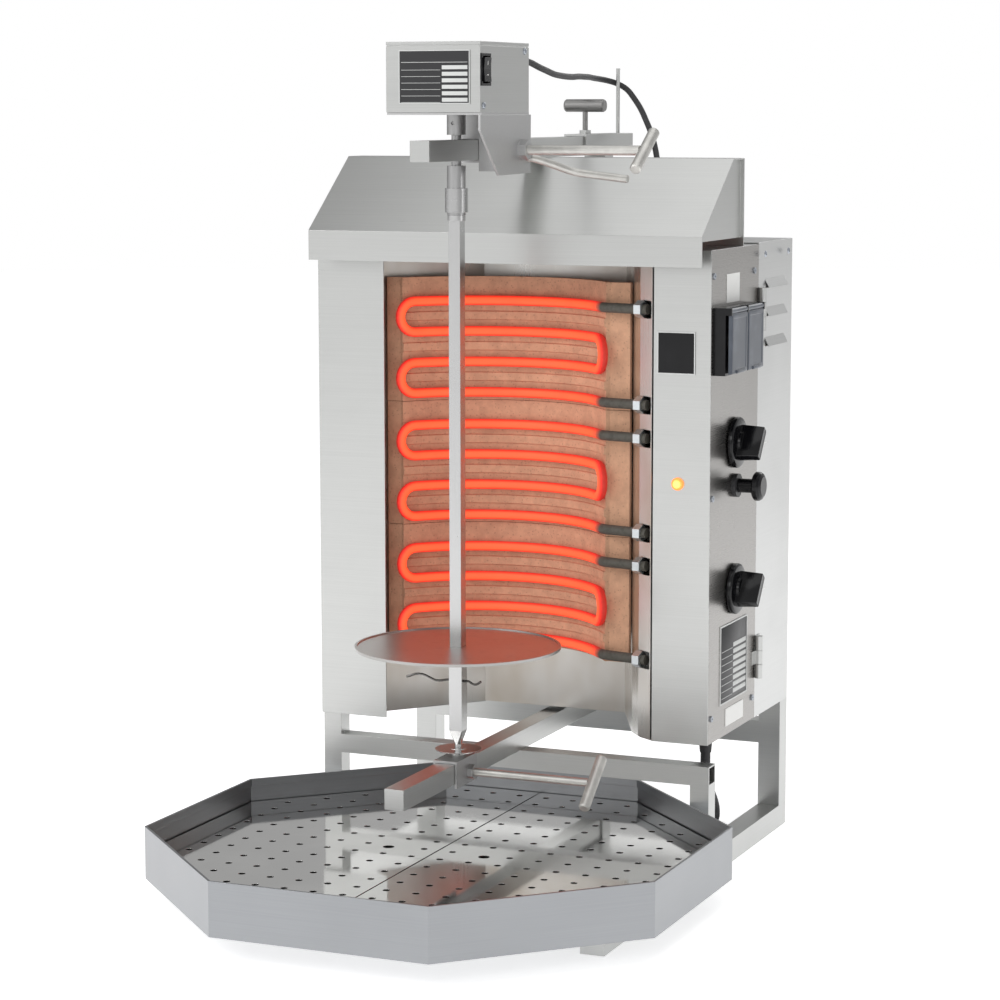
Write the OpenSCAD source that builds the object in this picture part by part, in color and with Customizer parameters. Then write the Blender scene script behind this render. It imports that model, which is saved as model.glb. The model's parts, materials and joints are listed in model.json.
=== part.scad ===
// Electric skewer grill: a heated half-round housing on a tube stand, with a motor
// carriage on an upper arm, a turning spit, a bearing saddle on a lower arm and a drip
// tray that slides on the bottom rails. X runs to the right, Y to the rear, Z up.
// Depths are measured rearwards from the front face of the housing, then placed.

/* [Stand] */
// Overall width of the stand and the housing
stand_w = 540; // [500:1:640]
// Height of the housing's underside above the floor
deck_z = 174; // [160:1:210]
// Length of the bottom rails in front of the housing
rail_reach = 360; // [320:1:430]
// Side of the square tube of the rails and rear legs
rail_t = 30; // [25:1:36]
// Side of the square tube of the front legs and both arms
arm_t = 25; // [20:1:29]
// Wall of every square tube
tube_wall = 2; // [1.5:0.1:3]
// Top of the lower arm above the floor
lower_arm_top = 170; // [166:1:172]

/* [Housing] */
// Height of the housing without its hood
housing_h = 621; // [560:1:740]
// Depth of the housing, front face to back
housing_d = 330; // [300:1:400]
// Depth of the front bays, which is the width of the control door
bay_d = 187; // [180:1:200]
// Width of the left front panel
left_wing_w = 94; // [85:1:100]
// Width of the right front panel
right_wing_w = 75; // [70:1:80]
// Thickness of the stainless sheet
sheet = 1.5; // [1:0.1:2]
// Height of the hood above the housing
hood_h = 111; // [100:1:130]
// Overhang of the hood in front of the housing
hood_reach = 31; // [20:1:45]

/* [Heaters] */
// Height of one heater board
board_h = 161.4; // [150:0.1:165]
// Gap between two heater boards
board_gap = 0.6; // [0.3:0.1:1.5]
// Thickness of a heater board
board_t = 8; // [6:0.5:10]
// Radius of the heating tubes' arc
element_arc_r = 165; // [158:1:168]
// Diameter of a heating tube
element_d = 13; // [8:0.5:14]
// Height between two runs of a heating tube
run_pitch = 40; // [34:1:40]

/* [Spit and drive] */
// Distance of the spit in front of the housing
spit_reach = 164; // [150:1:180]
// Side of the spit's square bar above the meat disc
spit_t = 15; // [12:0.5:15]
// Diameter of the meat disc
disc_d = 255; // [200:1:260]
// Height of the meat disc above the floor
disc_z = 308; // [290:1:330]
// Width of the motor box
motor_w = 122; // [110:1:130]
// Depth of the motor box
motor_d = 149; // [140:1:160]
// Height of the motor box
motor_h = 83; // [76:1:100]
// Diameter of the drive shaft
shaft_d = 23; // [18:1:24]

/* [Drip tray] */
// Width of the octagonal drip tray across its flats
tray_w = 666; // [620:1:700]
// Height of the drip tray's wall
tray_h = 66; // [50:1:70]
// Spacing of the drain holes
drain_pitch = 38; // [30:1:50]
// Diameter of a drain hole
drain_d = 8.5; // [4:0.5:10]
// Width of the seam between the two inserts
insert_seam = 2; // [0.6:0.2:4]

/* [Controls] */
// Diameter of a heat knob's skirt
knob_d = 65; // [50:1:68]
// Travel of the regulator button
button_travel = 6; // [3:0.5:8]
// Diameter of the mains cable
mains_d = 13; // [9:0.5:13]
// Diameter of the motor cable
motor_cable_d = 8; // [6:0.5:9]

/* [Fits] */
// Clearance between loose neighbours
gap = 0.3; // [0.2:0.05:0.5]
// Radial clearance of a running fit
run_fit = 0.05; // [0.02:0.01:0.1]

/* [Hidden] */
$fn = 48;

// Colours of the finishes
steel = "silver";
warm_steel = "darkgray";
black = "#202022";
cast = "gainsboro";
zinc = "lightsteelblue";

// Places that several pieces share
front_y = 78;
half_w = stand_w / 2;
top_z = deck_z + housing_h;
hood_z = top_z + hood_h;
rail_x = half_w - rail_t / 2;
back_d = housing_d;
spit_d = -spit_reach;
lower_arm_z = lower_arm_top - arm_t;
upper_arm_z = hood_z;
arm_half = arm_t / 2;
front_leg_d = 6;
mast_d = back_d - tube_wall - rail_t;

module placed() {
  translate([0, front_y, 0]) children();
}

// ---- Square tubes -------------------------------------------------------------

// Square tube along Y, open at both ends, its near lower left corner at [x, y, z]
module tube_y(x, y, z, t, length) {
  translate([x, y, z])
    difference() {
      cube([t, length, t]);
      translate([tube_wall, -1, tube_wall])
        cube([t - 2 * tube_wall, length + 2, t - 2 * tube_wall]);
    }
}

// Square tube along X
module tube_x(x, y, z, t, length) {
  translate([x, y, z])
    difference() {
      cube([length, t, t]);
      translate([-1, tube_wall, tube_wall])
        cube([length + 2, t - 2 * tube_wall, t - 2 * tube_wall]);
    }
}

// Square tube along Z
module tube_z(x, y, z, t, length) {
  translate([x, y, z])
    difference() {
      cube([t, t, length]);
      translate([tube_wall, tube_wall, -1])
        cube([t - 2 * tube_wall, t - 2 * tube_wall, length + 2]);
    }
}

// Push-in cap of a square tube's end: dir is 1 where its plug points to the rear
module tube_cap(x, y, z, t, dir) {
  plug_t = t - 2 * tube_wall - gap;
  inset = (t - plug_t) / 2;
  translate([x, y, z]) {
    cube([t, cap_t, t]);
    translate([inset, dir > 0 ? cap_t : -cap_plug, inset])
      cube([plug_t, cap_plug, plug_t]);
  }
}
cap_t = 2;
cap_plug = 10;

module bottom_rails() {
  color(steel)
    placed()
      for (side = [-1, 1])
        tube_y(side * rail_x - rail_t / 2, cap_t - rail_reach, 0, rail_t,
               rail_reach + back_d - 2 * cap_t);
}

lower_arm_front = -352;
upper_arm_front = -271;
upper_arm_rear = 400;

module tube_end_caps() {
  color(steel)
    placed() {
      for (side = [-1, 1]) {
        tube_cap(side * rail_x - rail_t / 2, -rail_reach, 0, rail_t, 1);
        tube_cap(side * rail_x - rail_t / 2, back_d - cap_t, 0, rail_t, -1);
      }
      tube_cap(-arm_half, lower_arm_front, lower_arm_z, arm_t, 1);
      tube_cap(-arm_half, upper_arm_front, upper_arm_z, arm_t, 1);
      tube_cap(-arm_half, upper_arm_rear - cap_t, upper_arm_z, arm_t, -1);
    }
}

// Welded legs and crossbars between the rails and the housing
module stand_frame() {
  bar_z = lower_arm_z - arm_t;
  rear_bar_z = lower_arm_z - rail_t;
  color(steel)
    placed() {
      for (side = [-1, 1])
        tube_z(side * rail_x - rail_t / 2, back_d - rail_t, rail_t, rail_t, deck_z - rail_t);
      tube_z(-half_w, front_leg_d, rail_t, arm_t, deck_z - rail_t);
      tube_z(half_w - arm_t, front_leg_d, rail_t, arm_t, bar_z - rail_t);
      tube_x(arm_t - half_w, front_leg_d, bar_z, arm_t, stand_w - arm_t);
      tube_x(rail_t - half_w, back_d - rail_t, rear_bar_z, rail_t, stand_w - 2 * rail_t);
    }
}

module lower_arm() {
  color(steel)
    placed()
      tube_y(-arm_half, lower_arm_front + cap_t, lower_arm_z, arm_t,
             mast_d - lower_arm_front - cap_t);
}

// ---- Housing ------------------------------------------------------------------

// Folded sheet: the outline of a plan line given a thickness on its left-hand side
function cross_2d(a, b) = a[0] * b[1] - a[1] * b[0];
function unit(v) = v / norm(v);
function left_of(a, b) = [a[1] - b[1], b[0] - a[0]] / norm(b - a);
function mitre(p, i, t) =
  let (n1 = left_of(p[max(i - 1, 0)], p[max(i, 1)]),
       n2 = left_of(p[min(i, len(p) - 2)], p[min(i + 1, len(p) - 1)]))
  (n1 + n2) * t / (1 + n1 * n2);
function folded(p, t) = concat(
  p, [for (i = [len(p) - 1:-1:0]) p[i] + mitre(p, i, t)]);

// Plan line of the reflector's inner face, from the left panel round to the right one
left_edge = left_wing_w - half_w;
right_edge = half_w - right_wing_w;
reflector_t = 1.2;
// Centre of the half-round of heaters across the grill
arc_x = -22;
reflector_line = [
  [left_edge - 2, sheet + gap + reflector_t], [arc_x - 183, 22], [arc_x - 75, 146],
  [arc_x + 126, 146], [arc_x + 178, 34], [arc_x + 193, 16], [right_edge - 3, sheet + gap]
];

// Depth of that centre, and the pieces set out from it
arc_d = -66;
board_r = element_arc_r + element_d / 2 + gap;
board_pitch = board_h + board_gap;
boards_top = top_z - 44;
board_end_a = 35.4;
bend_r = run_pitch / 2;
run_end_a = 39;
first_run_drop = 31;
cold_turn = 38;
cold_turn_r = 30;
cold_lead = 8;
cold_len = 58;
nut_af = 19;
nut_t = 10;
nut_at = 42;

function board_top(n) = boards_top - n * board_pitch;
function run_z(n, i) = board_top(n) - first_run_drop - i * run_pitch;

// Where a cold end starts to turn away from the arc, and where its straight end starts
cold_dir = run_end_a - 90;
cold_start = [arc_x, arc_d] + element_arc_r * [cos(run_end_a), sin(run_end_a)]
  + cold_lead * [cos(cold_dir), sin(cold_dir)];
cold_centre = cold_start + cold_turn_r * [-sin(cold_dir), cos(cold_dir)];
end_dir = cold_dir + cold_turn;
end_start = cold_centre - cold_turn_r * [-sin(end_dir), cos(end_dir)];

// Lays its children's Z axis along a cold end, at a distance from where it turns straight
module at_cold_end(n, i, along) {
  place = end_start + along * [cos(end_dir), sin(end_dir)];
  translate([place[0], place[1], run_z(n, i)])
    rotate([0, 90, end_dir])
      children();
}

module reflector() {
  hole_r = nut_af / 2 / cos(30) + gap;
  color(cast)
    placed()
      difference() {
        translate([0, 0, deck_z + sheet])
          linear_extrude(housing_h - 2 * sheet - gap)
            polygon(folded(reflector_line, reflector_t));
        for (n = [0:2])
          for (i = [0, 3])
            at_cold_end(n, i, nut_at - 5)
              cylinder(r = hole_r, h = nut_t + 18);
      }
}

// Floor and top plates of a front bay, behind the reflector
module bay_plate(line, z) {
  translate([0, 0, z])
    linear_extrude(sheet)
      polygon(line);
}

module left_wing() {
  inner = half_w - sheet;
  plate = [
    [-inner, sheet], [left_edge, sheet], [arc_x - 183, 24], [arc_x - 76, 148],
    [arc_x - 76, bay_d],
    [-inner, bay_d]
  ];
  color(steel)
    placed() {
      translate([-half_w, 0, deck_z])
        cube([left_wing_w, sheet, housing_h]);
      translate([-half_w, 0, deck_z])
        cube([sheet, bay_d, housing_h]);
      bay_plate(plate, deck_z);
      bay_plate(plate, top_z - sheet);
    }
}

lamp_x = right_edge + 33;
lamp_z = deck_z + 330;
lamp_hole_r = 6;
mains_gland_x = 229;
mains_gland_d = 112;
mains_gland_r = 11;

module right_wing() {
  inner = half_w - sheet - gap;
  plate = [
    [right_edge, sheet], [inner, sheet], [inner, bay_d], [arc_x + 127, bay_d],
    [arc_x + 127, 148], [arc_x + 180, 35], [arc_x + 195, 17]
  ];
  color(steel)
    placed()
      difference() {
        union() {
          translate([right_edge, 0, deck_z])
            cube([right_wing_w, sheet, housing_h]);
          bay_plate(plate, deck_z);
          bay_plate(plate, top_z - sheet);
        }
        translate([lamp_x, -1, lamp_z])
          rotate([-90, 0, 0])
            cylinder(r = lamp_hole_r, h = sheet + 2);
        translate([mains_gland_x, mains_gland_d, deck_z - 1])
          cylinder(r = mains_gland_r, h = sheet + 2);
      }
}

// Rear box: roof, floor, sides and back of the housing behind the front bays
box_front = bay_d + gap;
box_rise = 2;
louvre_w = 80;
louvre_h = 8;
louvre_out = 6;
louvre_d = 215;
louvre_drops = [54, 91, 130];
motor_gland_x = 96;
motor_gland_d = 282;
motor_gland_r = 8;

module rear_box() {
  box_h = housing_h + box_rise;
  box_d = back_d - box_front;
  inner_w = stand_w - 2 * sheet;
  color(steel)
    placed()
      difference() {
        union() {
          difference() {
            translate([-half_w, box_front, deck_z])
              cube([stand_w, box_d, box_h]);
            translate([sheet - half_w, box_front - 1, deck_z + sheet])
              cube([inner_w, box_d + 1 - sheet, box_h - 2 * sheet]);
          }
          for (side = [-1, 1])
            for (drop = louvre_drops)
              louvre(side, top_z - drop);
        }
        for (side = [-1, 1])
          for (drop = louvre_drops)
            translate([side * (half_w - sheet / 2), louvre_d + louvre_w / 2, top_z - drop])
              cube([sheet + 2, louvre_w - 4, louvre_h], center = true);
        translate([-rail_t / 2 - gap, mast_d - gap, deck_z - 1])
          cube([rail_t + 2 * gap, rail_t + 2 * gap, box_h + 2]);
        translate([motor_gland_x, motor_gland_d, top_z])
          cylinder(r = motor_gland_r, h = 2 * box_rise);
      }
}

// Pressed hood over a cooling slot
module louvre(side, z) {
  lip = 1;
  translate([side * half_w, louvre_d + louvre_w, z])
    mirror([side < 0 ? 1 : 0, 0, 0])
      rotate([90, 0, 0])
        linear_extrude(louvre_w)
          polygon([
            [0, louvre_h], [louvre_out, -louvre_h / 2],
            [louvre_out - lip, -louvre_h / 2], [0, louvre_h - 2 * lip]
          ]);
}

// Hood: a sheet folded over the top, closed by recessed end plates
hood_top_front = 89;
hood_back = 131;
hood_lip_up = 18;
hood_lip_down = 20;
hood_inset = 2;
end_plate_inset = 5;
end_plate_gap = 11;

module hood() {
  line = [
    [hood_back, top_z], [hood_back, hood_z], [hood_top_front, hood_z],
    [-hood_reach, top_z + hood_lip_up], [-hood_reach, top_z - hood_lip_down]
  ];
  inner = [for (i = [len(line) - 1:-1:0]) line[i] + mitre(line, i, sheet)];
  plate_z = top_z + end_plate_gap;
  hood_half = half_w - hood_inset;
  plate = [[inner[0][0], plate_z], inner[1], inner[2], inner[3], [inner[4][0], plate_z]];
  color(steel)
    placed() {
      translate([-hood_half, 0, 0])
        rotate([90, 0, 90])
          linear_extrude(2 * hood_half)
            polygon(concat(line, inner));
      for (x = [end_plate_inset - hood_half, hood_half - end_plate_inset - sheet])
        translate([x, 0, 0])
          rotate([90, 0, 90])
            linear_extrude(sheet)
              polygon(plate);
    }
}

// Curved ceramic board with flat flanges and four raised ribs between the tube's runs
rib_h = 12;
rib_out = 2.5;

module heater_board(n) {
  z = board_top(n) - board_h;
  start_a = board_end_a - 1;
  corner = polar(board_r + 1, board_end_a);
  ribs = [for (i = [2:-1:0]) let (mid = run_z(n, i) - run_pitch / 2 - z)
    each [[board_r, mid - rib_h / 2], [board_r - rib_out, mid - rib_h / 2 + 1],
          [board_r - rib_out, mid + rib_h / 2 - 1], [board_r, mid + rib_h / 2]]];
  profile = concat(
    [[board_r + board_t, board_h], [board_r + board_t, 0], [board_r, 0]], ribs,
    [[board_r, board_h]]);
  color("tan")
    placed()
      translate([arc_x, arc_d, z]) {
        rotate([0, 0, start_a])
          rotate_extrude(angle = 180 - 2 * start_a, $fn = 96)
            polygon(profile);
        translate([corner[0], corner[1], 0])
          cube([151 - arc_x - corner[0], board_t, board_h]);
        translate([-187 - arc_x, corner[1], 0])
          cube([187 + arc_x - corner[0], board_t, board_h]);
      }
}

module heater_board_1() {
  heater_board(0);
}

module heater_board_2() {
  heater_board(1);
}

module heater_board_3() {
  heater_board(2);
}

// Centre line of a heating tube: in at a cold end, four runs with half turns between
// them, and out at the other cold end
function polar(r, a) = r * [cos(a), sin(a)];
function at_height(p, z) = [p[0], p[1], z];
function run_points(n, i) =
  let (a0 = i % 2 == 0 ? run_end_a : 180 - run_end_a, a1 = 180 - a0)
  [for (k = [0:run_steps])
    at_height([arc_x, arc_d] + polar(element_arc_r, a0 + (a1 - a0) * k / run_steps),
              run_z(n, i))];
function bend_points(n, i) =
  let (right = i % 2 == 1, a = right ? run_end_a : 180 - run_end_a,
       p = [arc_x, arc_d] + polar(element_arc_r, a),
       out = polar(1, right ? a - 90 : a + 90))
  [for (k = [1:bend_steps - 1])
    let (t = 180 * k / bend_steps)
    at_height(p + bend_r * sin(t) * out, run_z(n, i) - bend_r * (1 - cos(t)))];
function cold_points(n, i) =
  let (end = end_start + polar(cold_len, end_dir))
  concat(
    [for (k = [0:turn_steps])
      at_height(cold_centre + polar(cold_turn_r, cold_dir - 90 + cold_turn * k / turn_steps),
                run_z(n, i))],
    [at_height((end_start + end) / 2, run_z(n, i)), at_height(end, run_z(n, i))]);
function backwards(p) = [for (i = [len(p) - 1:-1:0]) p[i]];
run_steps = 17;
bend_steps = 8;
turn_steps = 4;

// Serpentine heating tube
module heater_element(n) {
  path = concat(
    backwards(cold_points(n, 0)), run_points(n, 0), bend_points(n, 0), run_points(n, 1),
    bend_points(n, 1), run_points(n, 2), bend_points(n, 2), run_points(n, 3),
    cold_points(n, 3));
  color("orangered")
    placed()
      swept_tube(path, element_d / 2, 10, [0, 0, 1]);
}

module heater_element_1() {
  heater_element(0);
}

module heater_element_2() {
  heater_element(1);
}

module heater_element_3() {
  heater_element(2);
}

module element_nuts() {
  color(zinc)
    placed()
      for (n = [0:2])
        for (i = [0, 3])
          at_cold_end(n, i, nut_at)
            difference() {
              cylinder(d = nut_af / cos(30), h = nut_t, $fn = 6);
              translate([0, 0, -1])
                cylinder(r = element_d / 2 + run_fit, h = nut_t + 2);
            }
}
// ---- Control door and its controls --------------------------------------------

door_x = half_w - sheet;
door_front = sheet + 2 * gap;
door_rear = bay_d - gap;
knob_d_place = 96;
knob_drops = [247, 435];
button_d_place = 97;
button_drop = 302;
socket_drop = 113;
socket_h = 84;
socket_d0 = 8;
socket_len = 132;
socket_depth = 16;
socket_plug_r = 19;
spindle_r = 3;
button_shaft_r = 9;
button_collar_r = 15;
button_collar_h = 6;

// Lays its children's Z axis along X at a depth and a height of the door
module at_door(x, d, drop) {
  translate([x, d, top_z - drop])
    rotate([0, 90, 0])
      children();
}

module control_door() {
  color(warm_steel)
    placed()
      difference() {
        translate([door_x, door_front, deck_z + gap])
          cube([sheet, door_rear - door_front, housing_h - 2 * gap]);
        for (drop = knob_drops)
          at_door(door_x - 1, knob_d_place, drop)
            cylinder(r = spindle_r + 2, h = sheet + 2);
        at_door(door_x - 1, button_d_place, button_drop)
          cylinder(r = button_collar_r - 3 + gap, h = sheet + 2);
        for (i = [0, 1])
          at_door(door_x - 1, socket_centre(i), socket_drop)
            cylinder(r = socket_plug_r + 3, h = sheet + 2);
      }
}

function socket_centre(i) = socket_d0 + socket_len * (1 + 2 * i) / 4;

// Hinges at the door's rear edge: the pin and outer knuckles stay, the middle one turns
hinge_r = 5;
hinge_pin_r = 2;
hinge_x = half_w + hinge_r + gap;
hinge_d = bay_d + 2;
hinge_h = 56;
hinge_drops = [112, 568];
leaf_w = 16;

// One knuckle with its leaf: side is 1 on the fixed rear box and -1 on the door
module knuckle(z, h, side) {
  difference() {
    union() {
      translate([hinge_x, hinge_d, z])
        cylinder(r = hinge_r, h = h);
      translate([half_w, side > 0 ? hinge_d : hinge_d - leaf_w, z])
        cube([sheet, leaf_w, h]);
      translate([half_w, side > 0 ? hinge_d : hinge_d - hinge_r, z])
        cube([hinge_r, hinge_r, h]);
    }
    translate([hinge_x, hinge_d, z - 1])
      cylinder(r = hinge_pin_r + run_fit, h = h + 2);
  }
}

module door_hinge_pins() {
  third = hinge_h / 3;
  color(steel)
    placed()
      for (drop = hinge_drops)
        translate([0, 0, top_z - drop]) {
          translate([hinge_x, hinge_d, 0])
            cylinder(r = hinge_pin_r, h = hinge_h);
          for (z = [0, 2 * third])
            knuckle(z, third, 1);
        }
}

module door_hinge_knuckles() {
  third = hinge_h / 3;
  color(steel)
    placed()
      for (drop = hinge_drops)
        translate([0, 0, top_z - drop])
          knuckle(third + gap, third - 2 * gap, -1);
}

// Screws through the door: depth from the front, drop from the top
screw_places = [[9, 32], [168, 33], [9, 309], [12, 589], [176, 592]];
screw_head_r = 4;
screw_head_h = 2;

module door_screws() {
  color(zinc)
    placed()
      for (place = screw_places)
        at_door(half_w, place[0], place[1])
          difference() {
            cylinder(r = screw_head_r, h = screw_head_h);
            for (turn = [0, 90])
              rotate([0, 0, turn])
                translate([-3, -0.5, 1])
                  cube([6, 1, 2]);
          }
}

// Twin socket box with ears that hold the pin of its two sprung lids
lid_pin_r = 1.5;
lid_pin_x = half_w + 20.5;
lid_barrel_r = 3.5;
ear_w = 3;
ear_x = 24;

module socket_box() {
  color(black)
    placed() {
      difference() {
        union() {
          translate([half_w, socket_d0, top_z - socket_drop - socket_h / 2])
            cube([socket_depth, socket_len, socket_h]);
          for (i = [0, 1])
            at_door(half_w, socket_centre(i), socket_drop)
              cylinder(r = socket_plug_r + 5, h = lid_inner_x - gap - half_w);
          for (i = [0:2])
            translate([half_w, socket_d0 + i * (socket_len - ear_w) / 2, lid_pin_z - 5])
              cube([ear_x, ear_w, 9]);
        }
        for (i = [0, 1])
          at_door(half_w + 1.5, socket_centre(i), socket_drop)
            cylinder(r = socket_plug_r, h = 30);
      }
      translate([lid_pin_x, socket_d0, lid_pin_z])
        rotate([-90, 0, 0])
          cylinder(r = lid_pin_r, h = socket_len);
    }
}

lid_inner_x = half_w + 19;
lid_t = 5;
lid_pin_z = top_z - socket_drop + socket_h / 2 - 4;

module socket_lid(i) {
  bay = (socket_len - 3 * ear_w) / 2;
  d0 = socket_d0 + ear_w + i * (bay + ear_w) + gap;
  w = bay - 2 * gap;
  bottom = top_z - socket_drop - socket_h / 2 + 2;
  color("slategray")
    placed()
      difference() {
        union() {
          translate([lid_inner_x, d0, bottom])
            cube([lid_t, w, lid_pin_z - bottom]);
          translate([lid_pin_x, d0, lid_pin_z])
            rotate([-90, 0, 0])
              cylinder(r = lid_barrel_r, h = w);
          translate([lid_inner_x + lid_t - 1, d0 + w / 4, bottom])
            cube([3, w / 2, 4]);
        }
        translate([lid_pin_x, d0 - 1, lid_pin_z])
          rotate([-90, 0, 0])
            cylinder(r = lid_pin_r + run_fit, h = w + 2);
      }
}

module socket_lid_front() {
  socket_lid(0);
}

module socket_lid_rear() {
  socket_lid(1);
}

// Knob with a round skirt and a bar grip, bored for the switch's spindle
skirt_h = 7;
grip_w = 13;
grip_len = 46;
grip_h = 29;
grip_lean = 36;
knob_gap = 1;
spindle_out = 20;

module heat_knob(drop) {
  color(black)
    placed()
      at_door(half_w + knob_gap, knob_d_place, drop)
        difference() {
          union() {
            cylinder(d = knob_d, h = skirt_h - 2);
            translate([0, 0, skirt_h - 2])
              cylinder(d1 = knob_d, d2 = knob_d - 4, h = 2, $fn = 64);
            cylinder(d = grip_w + 14, h = skirt_h + 4);
            rotate([0, 0, -grip_lean])
              intersection() {
                translate([-grip_len / 2, -grip_w / 2, skirt_h - 1])
                  cube([grip_len, grip_w, grip_h + 1]);
                cylinder(d = grip_len, h = 2 * grip_h);
              }
          }
          translate([0, 0, -1])
            cylinder(r = spindle_r + run_fit, h = spindle_out + 1);
        }
}

module heat_knob_upper() {
  heat_knob(knob_drops[0]);
}

module heat_knob_lower() {
  heat_knob(knob_drops[1]);
}

button_head_r = 18.5;
button_head_h = 12;
button_neck = 27;

module regulator_knob() {
  color(black)
    placed()
      at_door(half_w - 4, button_d_place, button_drop) {
        cylinder(r = button_shaft_r, h = button_neck + 4 + button_collar_h);
        translate([0, 0, button_neck + 4])
          rotate_extrude($fn = 64)
            polygon([
              [0, 0], [button_head_r - 2, 0], [button_head_r, 2],
              [button_head_r, button_head_h - 5], [button_head_r - 2, button_head_h - 2],
              [button_head_r - 6, button_head_h], [0, button_head_h]
            ]);
      }
}

// Switch bodies behind the door, their spindles and the regulator's guide collar
body_w = 44;
body_deep = 40;

module switch_bodies() {
  behind = door_x - gap;
  color("dimgray")
    placed() {
      for (drop = knob_drops) {
        translate([behind - body_deep, knob_d_place - body_w / 2, top_z - drop - body_w / 2])
          cube([body_deep, body_w, body_w]);
        at_door(behind, knob_d_place, drop)
          cylinder(r = spindle_r, h = spindle_out + sheet);
      }
      difference() {
        union() {
          at_door(behind - 20, button_d_place, button_drop)
            cylinder(r = button_collar_r + 5, h = 20);
          at_door(behind, button_d_place, button_drop)
            cylinder(r = button_collar_r - 3, h = sheet + gap + button_collar_h);
          at_door(half_w, button_d_place, button_drop)
            cylinder(r = button_collar_r, h = button_collar_h);
        }
        at_door(behind - 14, button_d_place, button_drop)
          cylinder(r = button_shaft_r + run_fit, h = 40);
      }
      for (i = [0, 1])
        at_door(behind - 24, socket_centre(i), socket_drop)
          cylinder(r = socket_plug_r, h = 24 + gap + sheet);
    }
}

// Pilot lamp in the right front panel
module pilot_lamp() {
  color("orange")
    placed()
      translate([lamp_x, 0, lamp_z])
        rotate([90, 0, 0]) {
          cylinder(r = 8, h = 2);
          translate([0, 0, 2])
            cylinder(r1 = 7, r2 = 5, h = 3, $fn = 48);
          translate([0, 0, -22])
            cylinder(r = lamp_hole_r, h = 22);
        }
}

// Blank plate on the right front panel
module badge_plate() {
  color(black)
    placed()
      translate([200, -1, top_z - 154])
        cube([50, 1, 53]);
}

// Blank plates on the door: depth, width, bottom's height and height of each
plate_list = [[45, 107, 42, 102], [68, 71, 11, 23], [58, 50, 553, 36]];
plate_t = 0.6;

module rating_plates() {
  color("whitesmoke")
    placed()
      for (p = plate_list)
        translate([half_w, p[0], deck_z + p[2]])
          cube([plate_t, p[1], p[3]]);
}

// Terminal block on the control bay's floor
module terminal_block() {
  color("ivory")
    placed()
      translate([180, 130, deck_z + sheet])
        difference() {
          cube([36, 48, 22]);
          for (i = [0:3])
            translate([-1, 7.5 + 11 * i, 12])
              rotate([0, 90, 0])
                cylinder(r = 2.5, h = 38, $fn = 24);
        }
}

// ---- Arms and motor carriage --------------------------------------------------

carriage_back = 40;
carriage_fore = 60;
neck_r = 6;
slot_w = 2 * neck_r + 1;
channel_front = 226;
channel_rear = 402;
channel_t = 3;
channel_drop = 14;
arm_screw_d = 262;
arm_screw_r = 3.5;
guide_r = 2.5;
guide_x = 2;
guide_d = 380;

module rear_mast() {
  color(steel)
    placed()
      tube_z(-rail_t / 2, mast_d, lower_arm_z, rail_t, upper_arm_z - lower_arm_z);
}

module upper_arm() {
  slot_front = spit_d - carriage_back - slot_w / 2 - 1;
  slot_rear = spit_d + carriage_fore + slot_w / 2 + 1;
  length = upper_arm_rear - upper_arm_front - 2 * cap_t;
  color(steel)
    placed()
      difference() {
        tube_y(-arm_half, upper_arm_front + cap_t, upper_arm_z, arm_t, length);
        translate([-slot_w / 2, slot_front, upper_arm_z - 1])
          cube([slot_w, slot_rear - slot_front, arm_t + 2]);
      }
}

// Inverted channel that holds the rear of the upper arm
module arm_channel() {
  inner = arm_half + gap;
  length = channel_rear - channel_front;
  top = upper_arm_z + arm_t + gap;
  color(steel)
    placed()
      difference() {
        union() {
          translate([-inner - channel_t, channel_front, top])
            cube([2 * (inner + channel_t), length, channel_t]);
          for (x = [-inner - channel_t, inner])
            translate([x, channel_front, top - channel_drop])
              cube([channel_t, length, channel_drop + 1]);
          translate([0, arm_screw_d, top + channel_t])
            cylinder(d = 14 / cos(30), h = 5, $fn = 6);
        }
        translate([0, arm_screw_d, top - 1])
          cylinder(r = arm_screw_r + run_fit, h = 20);
      }
}

// Screw with a crossbar, set along its Z axis: length under the bar, bar along X
module cross_screw(r, length, bar_r, bar_len) {
  cylinder(r = r, h = length);
  translate([0, 0, length + bar_r - 1])
    rotate([0, 90, 0]) {
      cylinder(r = bar_r, h = bar_len - 4, center = true);
      for (side = [-1, 1])
        translate([0, 0, side * (bar_len / 2 - 2)])
          bar_end(side, bar_r);
    }
}

// Chamfered end of a crossbar
module bar_end(side, r) {
  mirror([0, 0, side < 0 ? 1 : 0])
    rotate_extrude()
      polygon([[0, 0], [r, 0], [r - 1.5, 2], [0, 2]]);
}

module arm_screw() {
  stem = 33;
  color("lightgray")
    placed()
      translate([0, arm_screw_d, upper_arm_z + arm_t + gap])
        cross_screw(arm_screw_r, stem, 8.5, 57);
}

module cable_guide() {
  color(steel)
    placed()
      translate([guide_x, guide_d, upper_arm_z + arm_t + gap + channel_t]) {
        cylinder(r = guide_r, h = 88);
        translate([0, 0, 87])
          rotate([0, 90, 0])
            cylinder(r = 0.8, h = 3);
      }
}

motor_front = spit_d - 68;
motor_z = hood_z + 58;
motor_top = motor_z + motor_h;
half_motor = motor_w / 2;
bracket_t = 3;
switch_w = 28;
switch_h = 38;
switch_d = motor_front + switch_w / 2;
switch_z = motor_z + 50;
rocker_w = 20;
rocker_h = 30;
relief_x = 46;
relief_z = motor_z + 62;
relief_len = 22;
screw_d = -112;
screw_z = upper_arm_z + arm_half;
screw_r = 6;
lever_d = -91;
lever_z = upper_arm_z + 2;
lever_r = 5;

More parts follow.
